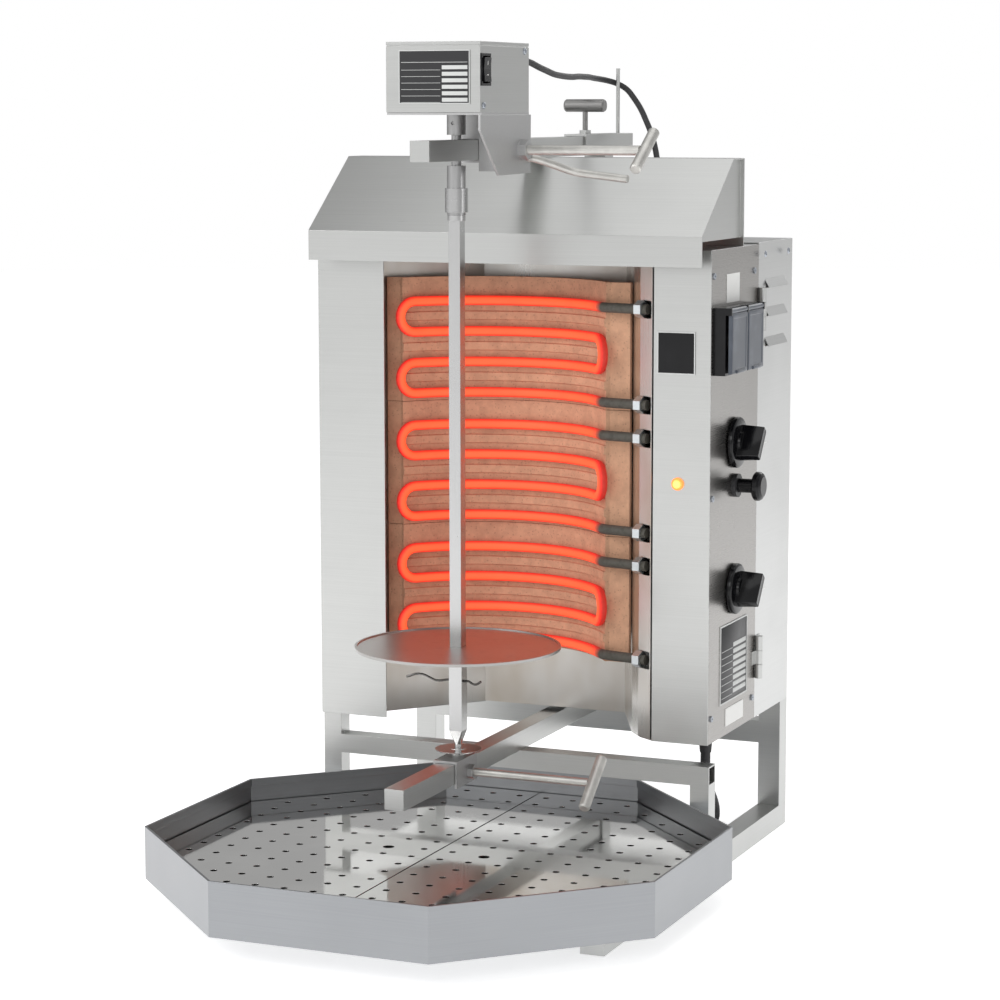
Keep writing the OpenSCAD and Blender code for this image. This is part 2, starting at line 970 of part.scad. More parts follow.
module motor_box() {
  seam = 0.6;
  color(steel)
    placed()
      difference() {
        translate([-half_motor, motor_front, motor_z])
          cube([motor_w, motor_d, motor_h]);
        translate([sheet - half_motor, motor_front + sheet, motor_z - 1])
          cube([motor_w - 2 * sheet, motor_d - 2 * sheet, motor_h + 1 - sheet]);
        difference() {
          translate([-half_motor - 1, motor_front - 1, motor_top - 5])
            cube([motor_w + 2, motor_d + 2, 1.2]);
          translate([seam - half_motor, motor_front + seam, motor_top - 6])
            cube([motor_w - 2 * seam, motor_d - 2 * seam, 4]);
        }
        translate([half_motor - sheet - 1, switch_d - rocker_w / 2 - 1, switch_z - rocker_h / 2 - 1])
          cube([sheet + 2, rocker_w + 2, rocker_h + 2]);
        translate([relief_x, motor_front + motor_d - sheet - 1, relief_z])
          rotate([-90, 0, 0])
            cylinder(r = 7, h = sheet + 2);
      }
}

// Bracket under the motor box: base, right cheek, a sleeve on the arm and a clamp nut
module motor_bracket() {
  cheek = [[-236, 0], [-81, 0], [-82, -71], [-181, -72], [-236, -18]];
  sleeve_in = arm_half + gap;
  sleeve_out = sleeve_in + bracket_t;
  sleeve_d = spit_d + 38;
  sleeve_len = 40;
  web_x = sleeve_out - bracket_t;
  base_z = motor_z - bracket_t;
  color("darkgray")
    placed()
      difference() {
        union() {
          translate([-half_motor, -230, base_z])
            cube([motor_w + 1, 145, bracket_t]);
          translate([half_motor - 1, 0, base_z])
            rotate([90, 0, 90])
              linear_extrude(bracket_t)
                polygon(cheek);
          translate([web_x, sleeve_d, screw_z - 26])
            cube([half_motor - web_x, bracket_t, base_z + 26 - screw_z]);
          translate([-sleeve_out, sleeve_d, screw_z])
            cube([2 * sleeve_out, bracket_t, base_z - screw_z + 1]);
          translate([-sleeve_out, sleeve_d, screw_z - sleeve_out])
            cube([2 * sleeve_out, sleeve_len, 2 * sleeve_out]);
          translate([half_motor + 2, screw_d, screw_z])
            rotate([0, 90, 0])
              cylinder(d = 22 / cos(30), h = 10, $fn = 6);
        }
        translate([-sleeve_in, -300, screw_z - sleeve_in])
          cube([2 * sleeve_in, 300, 2 * sleeve_in]);
        translate([0, spit_d, base_z - 1])
          cylinder(d = shaft_d + 2, h = bracket_t + 2);
        translate([0, screw_d, screw_z])
          rotate([0, 90, 0])
            cylinder(r = screw_r + run_fit, h = 100);
        translate([half_motor - 5, lever_d, lever_z])
          rotate([0, 90, 0])
            cylinder(r = lever_r + run_fit, h = 20);
      }
}

// Switch frame and cable relief on the motor box
module motor_fittings() {
  color(black)
    placed() {
      translate([half_motor, switch_d - switch_w / 2, switch_z - switch_h / 2])
        difference() {
          cube([2, switch_w, switch_h]);
          translate([-1, (switch_w - rocker_w - 1) / 2, (switch_h - rocker_h) / 2 - 1])
            cube([4, rocker_w + 1, rocker_h + 2]);
        }
      translate([relief_x, motor_front + motor_d - sheet - 2, relief_z])
        rotate([-90, 0, 0]) {
          cylinder(r = 6.8, h = sheet + 2);
          translate([0, 0, sheet + 2])
            cylinder(r1 = 7.5, r2 = motor_cable_d / 2 + 0.8, h = relief_len, $fn = 48);
        }
    }
}

// Round back of the rocker, on the line that it tilts about
rocker_pivot_r = 3;

module motor_switch() {
  color(black)
    placed()
      translate([half_motor, switch_d + rocker_w / 2 - 0.3, switch_z])
        rotate([90, 0, 0]) {
          linear_extrude(rocker_w - 0.6)
            polygon([
              [-1.5, -12], [2, -14], [4.5, -14], [3.2, 0], [4.5, 14], [2, 14], [-1.5, 12]
            ]);
          cylinder(r = rocker_pivot_r, h = rocker_w - 0.6);
        }
}

module motor_label() {
  color("dimgray")
    placed()
      translate([-44, motor_front - 0.8, motor_z + 10])
        cube([92, 0.8, 63]);
}

// Gearbox and motor inside the box, bored for the drive shaft's neck
module gear_motor() {
  color("dimgray")
    placed()
      difference() {
        union() {
          translate([-45, spit_d - 40, motor_z])
            cube([90, 95, 36]);
          translate([0, spit_d + 8, motor_z + 36])
            cylinder(r = 29, h = 38);
        }
        translate([0, spit_d, motor_z - 1])
          cylinder(r = neck_r + run_fit, h = 28);
      }
}

// Clamp screw of the carriage; its crossbar leans forwards at the bottom
upper_bar_turn = 124;
upper_screw_len = 204;
bar_r = 7;

module upper_clamp_screw() {
  color("lightgray")
    placed()
      translate([arm_half + gap, screw_d, screw_z])
        rotate([0, 90, 0])
          rotate([0, 0, upper_bar_turn])
            cross_screw(screw_r, upper_screw_len, bar_r, 80);
}

// Bent lever pivoted in the right cheek of the bracket
lever_points = [
  [half_motor + 2, lever_d, lever_z], [70, lever_d, lever_z], [77, -87, lever_z - 2],
  [90, -76.5, lever_z - 7.5], [106, -64, lever_z - 14.5], [118, -60, lever_z - 17.8],
  [140, -60, lever_z - 20.4], [182, -60, lever_z - 25]
];

module carriage_lever() {
  color("lightgray")
    placed() {
      translate([half_motor - 3, lever_d, lever_z])
        rotate([0, 90, 0])
          cylinder(r = lever_r, h = 8);
      swept_tube(smooth_path(lever_points, 2), lever_r - 0.1, 16, [0, 0, 1]);
    }
}

// ---- Drive shaft, spit and bearing --------------------------------------------

neck_z0 = upper_arm_z - 6;
neck_z1 = upper_arm_z + arm_t + 6;
shaft_end_z = hood_z - 65;
tang_t = 12;
tang_gap = 0.2;
collar_z = shaft_end_z + 3;
collar_h = 29;
collar_r = shaft_d / 2 + 2.5;
foot_t = spit_t + 2;
taper_z = 206;
pin_z = 187;
pin_r = 4;
boss_top_z = 182;
boss_r = 9;
boss_bore_z = 175.5;

module drive_shaft() {
  color("lightgray")
    placed()
      translate([0, spit_d, 0])
        difference() {
          union() {
            translate([0, 0, shaft_end_z])
              cylinder(d = shaft_d, h = neck_z0 - shaft_end_z);
            translate([0, 0, neck_z0 - 1])
              cylinder(r = neck_r, h = motor_z + 24 - neck_z0);
            translate([0, 0, neck_z1])
              cylinder(d = shaft_d, h = motor_z - gap - neck_z1);
          }
          translate([-tang_t / 2 - tang_gap, -tang_t / 2 - tang_gap, shaft_end_z - 1])
            cube([tang_t + 2 * tang_gap, tang_t + 2 * tang_gap, 30]);
          translate([0, -shaft_d / 2 + 3, motor_z - 13])
            rotate([90, 0, 0])
              cylinder(r = 2, h = 6, $fn = 24);
        }
}

module coupling_collar() {
  color("lightgray")
    placed()
      translate([0, spit_d, collar_z])
        difference() {
          cylinder(r = collar_r, h = collar_h);
          translate([0, 0, -1])
            cylinder(r = shaft_d / 2 + run_fit, h = collar_h + 2);
        }
}

module spit() {
  ring_top = shaft_end_z - gap;
  ring_h = 7;
  color(steel)
    placed()
      translate([0, spit_d, 0])
        difference() {
          union() {
            translate([-spit_t / 2, -spit_t / 2, disc_z - 1])
              cube([spit_t, spit_t, ring_top - disc_z + 1]);
            translate([0, 0, ring_top - ring_h])
              cylinder(r = shaft_d / 2 - 0.5, h = ring_h);
            translate([-tang_t / 2, -tang_t / 2, ring_top - 1])
              cube([tang_t, tang_t, 28]);
            translate([-foot_t / 2, -foot_t / 2, taper_z])
              cube([foot_t, foot_t, disc_z - taper_z]);
            translate([0, 0, pin_z])
              hull() {
                cylinder(r = pin_r, h = 1, $fn = 32);
                translate([-foot_t / 2, -foot_t / 2, taper_z - pin_z - 1])
                  cube([foot_t, foot_t, 1]);
              }
            translate([0, 0, boss_bore_z + gap])
              cylinder(r = pin_r, h = pin_z + 1 - boss_bore_z);
          }
          translate([-foot_t, 0, clip_z])
            rotate([0, 90, 0])
              cylinder(r = clip_r + 0.3, h = 2 * foot_t, $fn = 24);
        }
}

disc_t = 2;

module meat_disc() {
  hole = spit_t + 2 * gap;
  color(steel)
    placed()
      translate([0, spit_d, disc_z + gap])
        difference() {
          union() {
            cylinder(d = disc_d, h = disc_t, $fn = 128);
            translate([0, 0, disc_t])
              rotate_extrude($fn = 128)
                translate([disc_d / 2 - 3, 0])
                  square([3, 1.5]);
          }
          translate([-hole / 2, -hole / 2, -1])
            cube([hole, hole, disc_t + 3]);
        }
}

// Wavy spring clip pushed through the foot of the spit
clip_z = 267;
clip_r = 1.5;
clip_points = [
  [-70, 0, 0], [-66, 0, 1], [-58, 0, 4], [-48, 0, 4.5], [-38, 0, 1], [-30, 0, -2],
  [-22, 0, -1.5], [-15, 0, 0], [-10, 0, 0], [0, 0, 0], [10, 0, 0], [15, 0, 0],
  [20, 0, -3], [25, 0, -3], [31, 0, 1]
];

module disc_clip() {
  color("gray")
    placed()
      translate([0, spit_d, clip_z])
        swept_tube(smooth_path(clip_points, 2), clip_r, 8, [0, 1, 0]);
}

saddle_front = spit_d - 40;
saddle_len = 62;
saddle_t = 3;
saddle_low = 140;
lower_screw_d = -165;
lower_screw_z = 154;
lower_screw_r = 5;
lower_screw_len = 161;
lower_bar_turn = 130;
lower_nut_t = 7;

module bearing_saddle() {
  inner = arm_half + gap;
  top = lower_arm_top + gap;
  color("darkgray")
    placed()
      difference() {
        union() {
          translate([-inner - saddle_t, saddle_front, top])
            cube([2 * (inner + saddle_t), saddle_len, saddle_t]);
          for (x = [-inner - saddle_t, inner])
            translate([x, saddle_front, saddle_low])
              cube([saddle_t, saddle_len, top - saddle_low + 1]);
          translate([inner + saddle_t, lower_screw_d, lower_screw_z])
            rotate([0, 90, 0])
              cylinder(d = 16 / cos(30), h = lower_nut_t, $fn = 6);
        }
        translate([inner - 1, lower_screw_d, lower_screw_z])
          rotate([0, 90, 0])
            cylinder(r = lower_screw_r + run_fit, h = 20);
      }
}

// Grooved boss on the saddle with a drip disc and the bore for the spit's pin
module bearing_boss() {
  base_z = lower_arm_top + gap + saddle_t;
  color("lightgray")
    placed()
      translate([0, spit_d, 0])
        difference() {
          union() {
            translate([0, 0, base_z])
              cylinder(r = boss_r, h = boss_top_z - base_z);
            translate([0, 0, boss_top_z - 2])
              cylinder(r1 = 28, r2 = 29, h = 1.5, $fn = 64);
          }
          translate([0, 0, base_z + 2])
            difference() {
              cylinder(r = boss_r + 1, h = 1.6);
              translate([0, 0, -1])
                cylinder(r = boss_r - 1.5, h = 4);
            }
          translate([0, 0, boss_bore_z])
            cylinder(r = pin_r + run_fit, h = 20);
        }
}

module lower_clamp_screw() {
  color("lightgray")
    placed()
      translate([arm_half + gap, lower_screw_d, lower_screw_z])
        rotate([0, 90, 0])
          rotate([0, 0, lower_bar_turn])
            cross_screw(lower_screw_r, lower_screw_len, bar_r, 79);
}

// ---- Drip tray ----------------------------------------------------------------

tray_d = -225;
tray_z = rail_t;
rim_h = 10;
rim_t = 3;
insert_z = 66;
insert_gap = 1;
finger_x = 64;
finger_d = -232;
finger_r = 7;

module octagon(apothem, h) {
  rotate([0, 0, 22.5])
    cylinder(r = apothem / cos(22.5), h = h, $fn = 8);
}

module drip_tray() {
  apothem = tray_w / 2;
  color("lightsteelblue")
    placed()
      translate([0, tray_d, tray_z])
        difference() {
          octagon(apothem, tray_h);
          translate([0, 0, sheet])
            octagon(apothem - sheet, tray_h - sheet - rim_h + 0.01);
          translate([0, 0, tray_h - rim_h])
            octagon(apothem - rim_t, rim_h + 1);
        }
}

// Perforated half insert: side is 1 on the right and -1 on the left
module tray_insert(side) {
  apothem = tray_w / 2 - rim_t - insert_gap;
  foot_z = tray_z + sheet + gap;
  h = insert_z - foot_z;
  seam = insert_seam / 2;
  count = floor(apothem / drain_pitch);
  color("white")
    placed()
      translate([0, tray_d, foot_z])
        difference() {
          intersection() {
            octagon(apothem, h);
            translate([side > 0 ? seam : -2 * apothem, -2 * apothem, 0])
              cube([2 * apothem - seam, 4 * apothem, h]);
          }
          intersection() {
            translate([0, 0, -1])
              octagon(apothem - sheet, h + 1 - sheet);
            translate([side > 0 ? seam + sheet : -2 * apothem, -2 * apothem, -1])
              cube([2 * apothem - seam - sheet, 4 * apothem, h + 2]);
          }
          for (i = [0:count])
            for (j = [-count:count])
              if (drain_fits((i + 0.5) * drain_pitch, j * drain_pitch, apothem))
                translate([side * (i + 0.5) * drain_pitch, j * drain_pitch, h - sheet - 1])
                  cylinder(d = drain_d, h = sheet + 2, $fn = 16);
          translate([side * finger_x, finger_d - tray_d, h - sheet - 1])
            cylinder(r = finger_r, h = sheet + 2);
        }
}

function drain_fits(x, y, apothem) =
  max(x, abs(y), (x + abs(y)) / sqrt(2)) < apothem - 14
  && norm([x - finger_x, y + tray_d - finger_d]) > finger_r + drain_d + 2;

module tray_insert_left() {
  tray_insert(-1);
}

module tray_insert_right() {
  tray_insert(1);
}

// ---- Cables -------------------------------------------------------------------

// Route of the motor cable, from the motor box round the guide rod to the rear box
motor_route = [
  [46, -60.7, 1026], [46, -50, 1025.5], [46, -36, 1023.5], [45, -10, 1019], [41, 25, 1015],
  [36, 60, 1011.5], [30, 95, 1010], [22, 140, 1009], [13, 185, 1009], [3, 230, 1010],
  [-6, 275, 1010], [-14, 312, 1010], [-18, 338, 1009], [-18, 358, 1008],
  [-13, 376, 1006], [-3, 388, 1002], [10, 393, 994], [22, 391, 981], [33, 387, 967],
  [43, 380, 952], [53, 371, 937], [63, 359, 920], [72, 345, 902], [80, 330, 884],
  [87, 314, 868], [92, 300, 855], [95, 288, 845], [96, 282.5, 836], [96, 282, 827]
];

// Route of the mains cable, from the gland under the control bay to its coil
mains_route = [
  [229, 112, 140], [229, 112, 127], [229, 113, 113], [230, 118, 98], [231, 126, 84],
  [232, 136, 70], [231, 146, 57], [228, 154, 44], [221, 159, 31], [211, 161, 20],
  [197, 161, 11.5], [180, 161, 7.4], [162, 161, 6.7], [130, 161, 6.7], [100, 161, 6.7],
  [86, 161, 6.7], [73, 161, 6.7]
];
tail_route = [
  [47, 161, 20.2], [34, 161, 20.2], [12, 161, 19.8], [-10, 161, 19.8], [-24, 161, 20.2],
  [-37, 161, 20.2]
];
coil_x = 60;
coil_d = 240;
coil_outer_r = 79;
coil_inner_r = 58.75;
coil_loops = 3;
coil_rings = 24;
coil_layer_h = 13.5;
coil_base_z = 6.7;

// Smooth curve through the points, with n steps to a span
function curve(a, b, c, d, t) =
  0.5 * (2 * b + (c - a) * t + (2 * a - 5 * b + 4 * c - d) * t * t
         + (3 * b - a - 3 * c + d) * t * t * t);
function smooth_path(p, n) = concat(
  [for (i = [0:len(p) - 2]) for (k = [0:n - 1])
    curve(p[max(i - 1, 0)], p[i], p[i + 1], p[min(i + 2, len(p) - 1)], k / n)],
  [p[len(p) - 1]]);
function heading(p, i) = unit(p[min(i + 1, len(p) - 1)] - p[max(i - 1, 0)]);
function square_to(v, t) = unit(v - (v * t) * t);
function frames(p, first) = [
  for (i = 0, s = square_to(first, heading(p, 0)); i < len(p);
       i = i + 1, s = i < len(p) ? square_to(s, heading(p, i)) : s) s];

// Round tube swept along a path
module swept_tube(path, r, sides, first) {
  side = frames(path, first);
  n = len(path);
  rings = [for (i = [0:n - 1]) let (u = side[i], v = cross(heading(path, i), u))
    for (k = [0:sides - 1])
      path[i] + r * (cos(360 * k / sides) * u + sin(360 * k / sides) * v)];
  walls = [for (i = [0:n - 2]) for (k = [0:sides - 1])
    let (a = i * sides + k, b = i * sides + (k + 1) % sides)
      each [[a, a + sides, b], [b, a + sides, b + sides]]];
  ends = [for (k = [1:sides - 2])
    each [[0, k, k + 1],
          [(n - 1) * sides, (n - 1) * sides + k + 1, (n - 1) * sides + k]]];
  polyhedron(points = rings, faces = concat(walls, ends), convexity = 8);
}

module motor_cable() {
  color("#303238")
    placed()
      swept_tube(smooth_path(motor_route, 2), motor_cable_d / 2, 8, [0, 0, 1]);
}

module mains_cable() {
  color("#18181a")
    placed() {
      swept_tube(smooth_path(mains_route, 2), mains_d / 2, 10, [1, 0, 0]);
      swept_tube(tail_route, mains_d / 2, 10, [0, 0, 1]);
    }
}

// The coil spirals in and out again, and climbs a layer in the half turn between
function coil_r(turn) =
  let (climb0 = (coil_loops - 0.5) / 2, step = (coil_outer_r - coil_inner_r) / climb0)
  turn < climb0 ? coil_outer_r - step * turn
  : turn > coil_loops - climb0 ? coil_outer_r - step * (coil_loops - turn)
  : coil_inner_r;
function coil_z(turn) =
  let (part = min(max((turn - coil_loops / 2 + 0.25) * 2, 0), 1))
  coil_base_z + coil_layer_h * (1 - cos(180 * part)) / 2;
function coil_point(turn) =
  let (a = -90 - 360 * turn, r = coil_r(turn))
  [coil_x + r * cos(a), coil_d + r * sin(a), coil_z(turn)];
coil_path = concat(
  [[coil_x + mains_d, coil_d - coil_outer_r, coil_base_z]],
  [for (i = [0:coil_loops * coil_rings]) coil_point(i / coil_rings)],
  [[coil_x - mains_d, coil_d - coil_outer_r, coil_base_z + coil_layer_h]]);
coil_gap = min([for (i = [0:len(coil_path) - 1]) for (j = [i + 12:1:len(coil_path) - 1])
  norm(coil_path[i] - coil_path[j])]) - mains_d;
echo(coil_gap = coil_gap);

module mains_coil() {
  color("#18181a")
    placed()
      swept_tube(coil_path, mains_d / 2, 6, [0, 0, 1]);
}

// Plug lying beside the coil at the end of the cable
plug_len = 46;
plug_w = 40;

module mains_plug() {
  color("#18181a")
    placed()
      translate(tail_route[len(tail_route) - 1])
        rotate([0, -90, 0]) {
          cylinder(r1 = mains_d / 2 + 1, r2 = mains_d / 2 + 5, h = 24, $fn = 48);
          translate([0, 0, 24])
            cylinder(d = plug_w, h = plug_len - 24);
          for (side = [-1, 1])
            translate([0, 9.5 * side, plug_len])
              cylinder(r = 2.4, h = 19, $fn = 24);
        }
}

// Glands and reliefs: under the control bay and on the rear box
module cable_glands() {
  color(black)
    placed() {
      translate([mains_gland_x, mains_gland_d, deck_z - 34]) {
        cylinder(r1 = mains_d / 2 + 1, r2 = mains_d / 2 + 3.5, h = 30, $fn = 48);
        translate([0, 0, 30])
          cylinder(d = 28 / cos(30), h = 4, $fn = 6);
        translate([0, 0, 34])
          cylinder(r = mains_gland_r - gap, h = 8);
      }
      translate([motor_gland_x, motor_gland_d, top_z + box_rise]) {
        cylinder(d = 20 / cos(30), h = 4, $fn = 6);
        translate([0, 0, 4])
          cylinder(r1 = motor_cable_d / 2 + 3, r2 = motor_cable_d / 2 + 0.8, h = 26, $fn = 48);
        translate([0, 0, -8])
          cylinder(r = motor_gland_r - gap, h = 8);
      }
    }
}

bottom_rails();
tube_end_caps();
stand_frame();
lower_arm();
rear_box();
left_wing();
right_wing();
reflector();
hood();
heater_board_1();
heater_board_2();
heater_board_3();
heater_element_1();
heater_element_2();
heater_element_3();
element_nuts();
control_door();
door_hinge_pins();
door_hinge_knuckles();
door_screws();
socket_box();
socket_lid_front();
socket_lid_rear();
heat_knob_upper();
heat_knob_lower();
regulator_knob();
pilot_lamp();
badge_plate();
rating_plates();
switch_bodies();
terminal_block();
rear_mast();
arm_channel();
upper_arm();
arm_screw();
cable_guide();
motor_box();
motor_bracket();
motor_fittings();
gear_motor();
motor_switch();
motor_label();
upper_clamp_screw();
carriage_lever();
drive_shaft();
coupling_collar();
spit();
meat_disc();
disc_clip();
bearing_saddle();
bearing_boss();
lower_clamp_screw();
drip_tray();
tray_insert_left();
tray_insert_right();
motor_cable();
mains_cable();
mains_coil();
mains_plug();
cable_glands();
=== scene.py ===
import json
import math

import bmesh
import bpy
from mathutils import Matrix, Vector


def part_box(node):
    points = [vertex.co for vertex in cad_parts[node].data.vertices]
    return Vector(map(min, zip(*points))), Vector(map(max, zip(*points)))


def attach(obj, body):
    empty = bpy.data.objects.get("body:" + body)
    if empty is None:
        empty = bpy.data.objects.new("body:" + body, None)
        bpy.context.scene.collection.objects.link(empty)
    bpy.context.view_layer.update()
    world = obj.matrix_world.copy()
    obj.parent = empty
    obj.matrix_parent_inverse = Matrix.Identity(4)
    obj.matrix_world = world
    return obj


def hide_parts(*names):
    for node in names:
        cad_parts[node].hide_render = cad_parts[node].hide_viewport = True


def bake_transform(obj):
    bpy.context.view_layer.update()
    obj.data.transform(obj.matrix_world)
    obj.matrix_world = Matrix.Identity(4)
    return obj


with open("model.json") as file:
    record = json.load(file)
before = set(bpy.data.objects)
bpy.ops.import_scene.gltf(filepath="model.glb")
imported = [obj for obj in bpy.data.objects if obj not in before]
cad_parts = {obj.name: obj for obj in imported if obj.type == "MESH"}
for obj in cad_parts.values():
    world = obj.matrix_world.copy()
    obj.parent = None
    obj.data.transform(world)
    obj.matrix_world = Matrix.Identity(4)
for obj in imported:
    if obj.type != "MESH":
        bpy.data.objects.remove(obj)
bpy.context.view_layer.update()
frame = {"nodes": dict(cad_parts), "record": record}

bl_info = {
    "name": "Electric skewer grill",
    "version": (1, 0, 0),
    "blender": (4, 5, 0),
    "location": "View3D > Sidebar > Skewer grill",
    "description": "Finishes, heating tubes, cables, knobs and blank plates of a skewer grill",
    "category": "Add Mesh",
}

# Depth of the housing's front face in the row frame; depths below count back from it
FRONT_Y = 0.078
MM = 0.001


def mm_point(x, d, z):
    """A point given as the part's source gives it: X, depth behind the front face, height."""
    return Vector((x * MM, d * MM + FRONT_Y, z * MM))


# ---- Sizes and colours ----------------------------------------------------------


class GrillSizes(bpy.types.PropertyGroup):
    """Sizes of the pieces that are modelled here, in metres."""

    tube_d: bpy.props.FloatProperty(
        name="Heating tube", description="Diameter of a heating tube",
        default=0.0128, unit="LENGTH")
    arc_r: bpy.props.FloatProperty(
        name="Arc", description="Radius of the heating tubes' arc", default=0.165, unit="LENGTH")
    run_pitch: bpy.props.FloatProperty(
        name="Run pitch", description="Height between two runs", default=0.040, unit="LENGTH")
    mains_d: bpy.props.FloatProperty(
        name="Mains cable", description="Diameter of the mains cable",
        default=0.013, unit="LENGTH")
    motor_cable_d: bpy.props.FloatProperty(
        name="Motor cable", description="Diameter of the motor cable",
        default=0.008, unit="LENGTH")
    knob_d: bpy.props.FloatProperty(
        name="Heat knob", description="Diameter of a heat knob's skirt",
        default=0.065, unit="LENGTH")
    edge: bpy.props.FloatProperty(
        name="Edge", description="Radius that softens sheet edges", default=0.0008,
        unit="LENGTH")


class GrillColours(bpy.types.PropertyGroup):
    """Colours of the finishes."""

    steel: bpy.props.FloatVectorProperty(
        name="Stainless", description="Satin stainless steel", subtype="COLOR", size=3,
        default=(0.55, 0.555, 0.545))
    door: bpy.props.FloatVectorProperty(
        name="Door", description="Warm satin steel of the control door", subtype="COLOR",
        size=3, default=(0.33, 0.318, 0.305))
    board: bpy.props.FloatVectorProperty(
        name="Board", description="Fibre ceramic of the heater boards", subtype="COLOR",
        size=3, default=(0.60, 0.34, 0.215))
    glow: bpy.props.FloatVectorProperty(
        name="Glow", description="Hot core of a heating tube", subtype="COLOR", size=3,
        default=(1.0, 0.095, 0.025))
    rim_glow: bpy.props.FloatVectorProperty(
        name="Rim glow", description="Edge of a heating tube", subtype="COLOR", size=3,
        default=(0.9, 0.008, 0.006))
    plastic: bpy.props.FloatVectorProperty(
        name="Plastic", description="Black moulded plastic", subtype="COLOR", size=3,
        default=(0.004, 0.004, 0.005))
    lid: bpy.props.FloatVectorProperty(
        name="Socket lids", description="Slate grey moulded plastic", subtype="COLOR",
        size=3, default=(0.075, 0.085, 0.105))
    amber: bpy.props.FloatVectorProperty(
        name="Pilot lamp", description="Amber lens", subtype="COLOR", size=3,
        default=(1.0, 0.20, 0.015))


def sizes():
    """The sizes of this scene."""
    return bpy.context.scene.grill_sizes


def colours():
    """The colours of this scene."""
    return bpy.context.scene.grill_colours


# ---- Shader maths ---------------------------------------------------------------


class Wire:
    """A shader value, so that a pattern reads as a sum."""

    def __init__(self, finish, socket):
        self.finish = finish
        self.socket = socket

    def maths(self, operation, *values):
        return self.finish.node("Math", {"operation": operation}, *values)

    def __add__(self, other):
        return self.maths("ADD", self, other)

    __radd__ = __add__

    def __sub__(self, other):
        return self.maths("SUBTRACT", self, other)

    def __rsub__(self, other):
        return self.maths("SUBTRACT", other, self)

    def __mul__(self, other):
        return self.maths("MULTIPLY", self, other)

    __rmul__ = __mul__

    def __pow__(self, other):
        return self.maths("POWER", self, other)

    def step(self, low, high):
        """0 below low, 1 above high, smooth between."""
        return self.finish.node(
            "MapRange", {"interpolation_type": "SMOOTHSTEP"}, self, low, high, 0.0, 1.0)


class Finish:
    """One material: its nodes, and the shader they end in."""

    def __init__(self, name):
        self.material = bpy.data.materials.new(name)
        self.material.use_nodes = True
        self.tree = self.material.node_tree
        self.shader = self.tree.nodes["Principled BSDF"]

    def link(self, value, socket):
        if isinstance(value, Wire):
            self.tree.links.new(value.socket, socket)
        else:
            socket.default_value = value

    def node(self, kind, settings=None, *values, out=0, **named):
        """Adds a node, sets it, fills its sockets in order or by name, and returns an output."""
        made = self.tree.nodes.new("ShaderNode" + kind)
        for key, value in (settings or {}).items():
            setattr(made, key, value)
        for socket, value in zip(made.inputs, values):
            self.link(value, socket)
        for key, value in named.items():
            self.link(value, made.inputs[key.replace("_", " ")])
        return Wire(self, made.outputs[out])

    def place(self, scale=(1, 1, 1)):
        """Object coordinates, stretched for a grain."""
        at = self.node("TexCoord", out="Object")
        return self.node("Mapping", None, Vector=at, Scale=scale)

    def noise(self, size, scale=(1, 1, 1), detail=3.0, rough=0.55):
        """Noise from 0 to 1 whose features are about size metres."""
        return self.node("TexNoise", None, Vector=self.place(scale), Scale=1.0 / size,
                         Detail=detail, Roughness=rough)

    def speckle(self, size):
        """Distance to the nearest of many scattered points, in cells of the given size."""
        return self.node("TexVoronoi", None, Vector=self.place(), Scale=1.0 / size)

    def mix(self, factor, a, b):
        """A colour from a to b."""
        made = self.tree.nodes.new("ShaderNodeMix")
        made.data_type = "RGBA"
        for index, value in ((0, factor), (6, a), (7, b)):
            if index > 0 and not isinstance(value, Wire):
                value = (*value, 1.0)
            self.link(value, made.inputs[index])
        return Wire(self, made.outputs[2])

    def bump(self, height, strength, distance, rounding=0.0):
        """A bump, over edges softened by rounding metres."""
        named = {"Strength": strength, "Distance": distance, "Height": height}
        if rounding:
            named["Normal"] = self.node("Bevel", {"samples": 4}, Radius=rounding)
        self.shade(Normal=self.node("Bump", None, **named))

    def shade(self, **values):
        """Sets or links sockets of the shader."""
        for key, value in values.items():
            if isinstance(value, (tuple, list)) and len(value) == 3:
                value = (*value, 1.0)
            self.link(value, self.shader.inputs[key.replace("_", " ")])


def darker(colour, by):
    """A colour made darker, or lighter where by is over 1."""
    return tuple(min(1.0, c * by) for c in colour)


# ---- Finishes -------------------------------------------------------------------

TUBE_GLOW = 1.35
LAMP_GLOW = 1.2
FLOOR_GLOW = 0.68

FLAT_GRAIN = (3, 3, 900)


def brushed(f, colour, grain, grime):
    """Scratches along the grain, soft wipe marks, and the tone that the two make."""
    scratches = f.noise(0.6, grain, detail=4.0, rough=0.7)
    wipes = f.noise(0.16, (1, 1, 1.6), detail=2.0)
    tone = f.mix(scratches.step(0.25, 0.75), darker(colour, 0.95), darker(colour, 1.03))
    tone = f.mix(wipes.step(0.45, 0.75) * grime, tone, darker(colour, 0.80))
    return scratches, wipes, tone


def satin_steel(name, colour, grain=FLAT_GRAIN, roughness=0.30, grime=0.12):
    """Brushed stainless: fine scratches along the grain, soft wipe marks and dull spots."""
    f = Finish(name)
    scratches, wipes, tone = brushed(f, colour, grain, grime)
    spots = f.noise(0.012, detail=2.0).step(0.66, 0.80)
    f.shade(Base_Color=tone, Metallic=1.0,
            Roughness=roughness + scratches * 0.10 + wipes * 0.08 + spots * 0.05 - 0.08)
    f.bump(scratches, 0.05, 0.0002, sizes().edge)
    return f.material


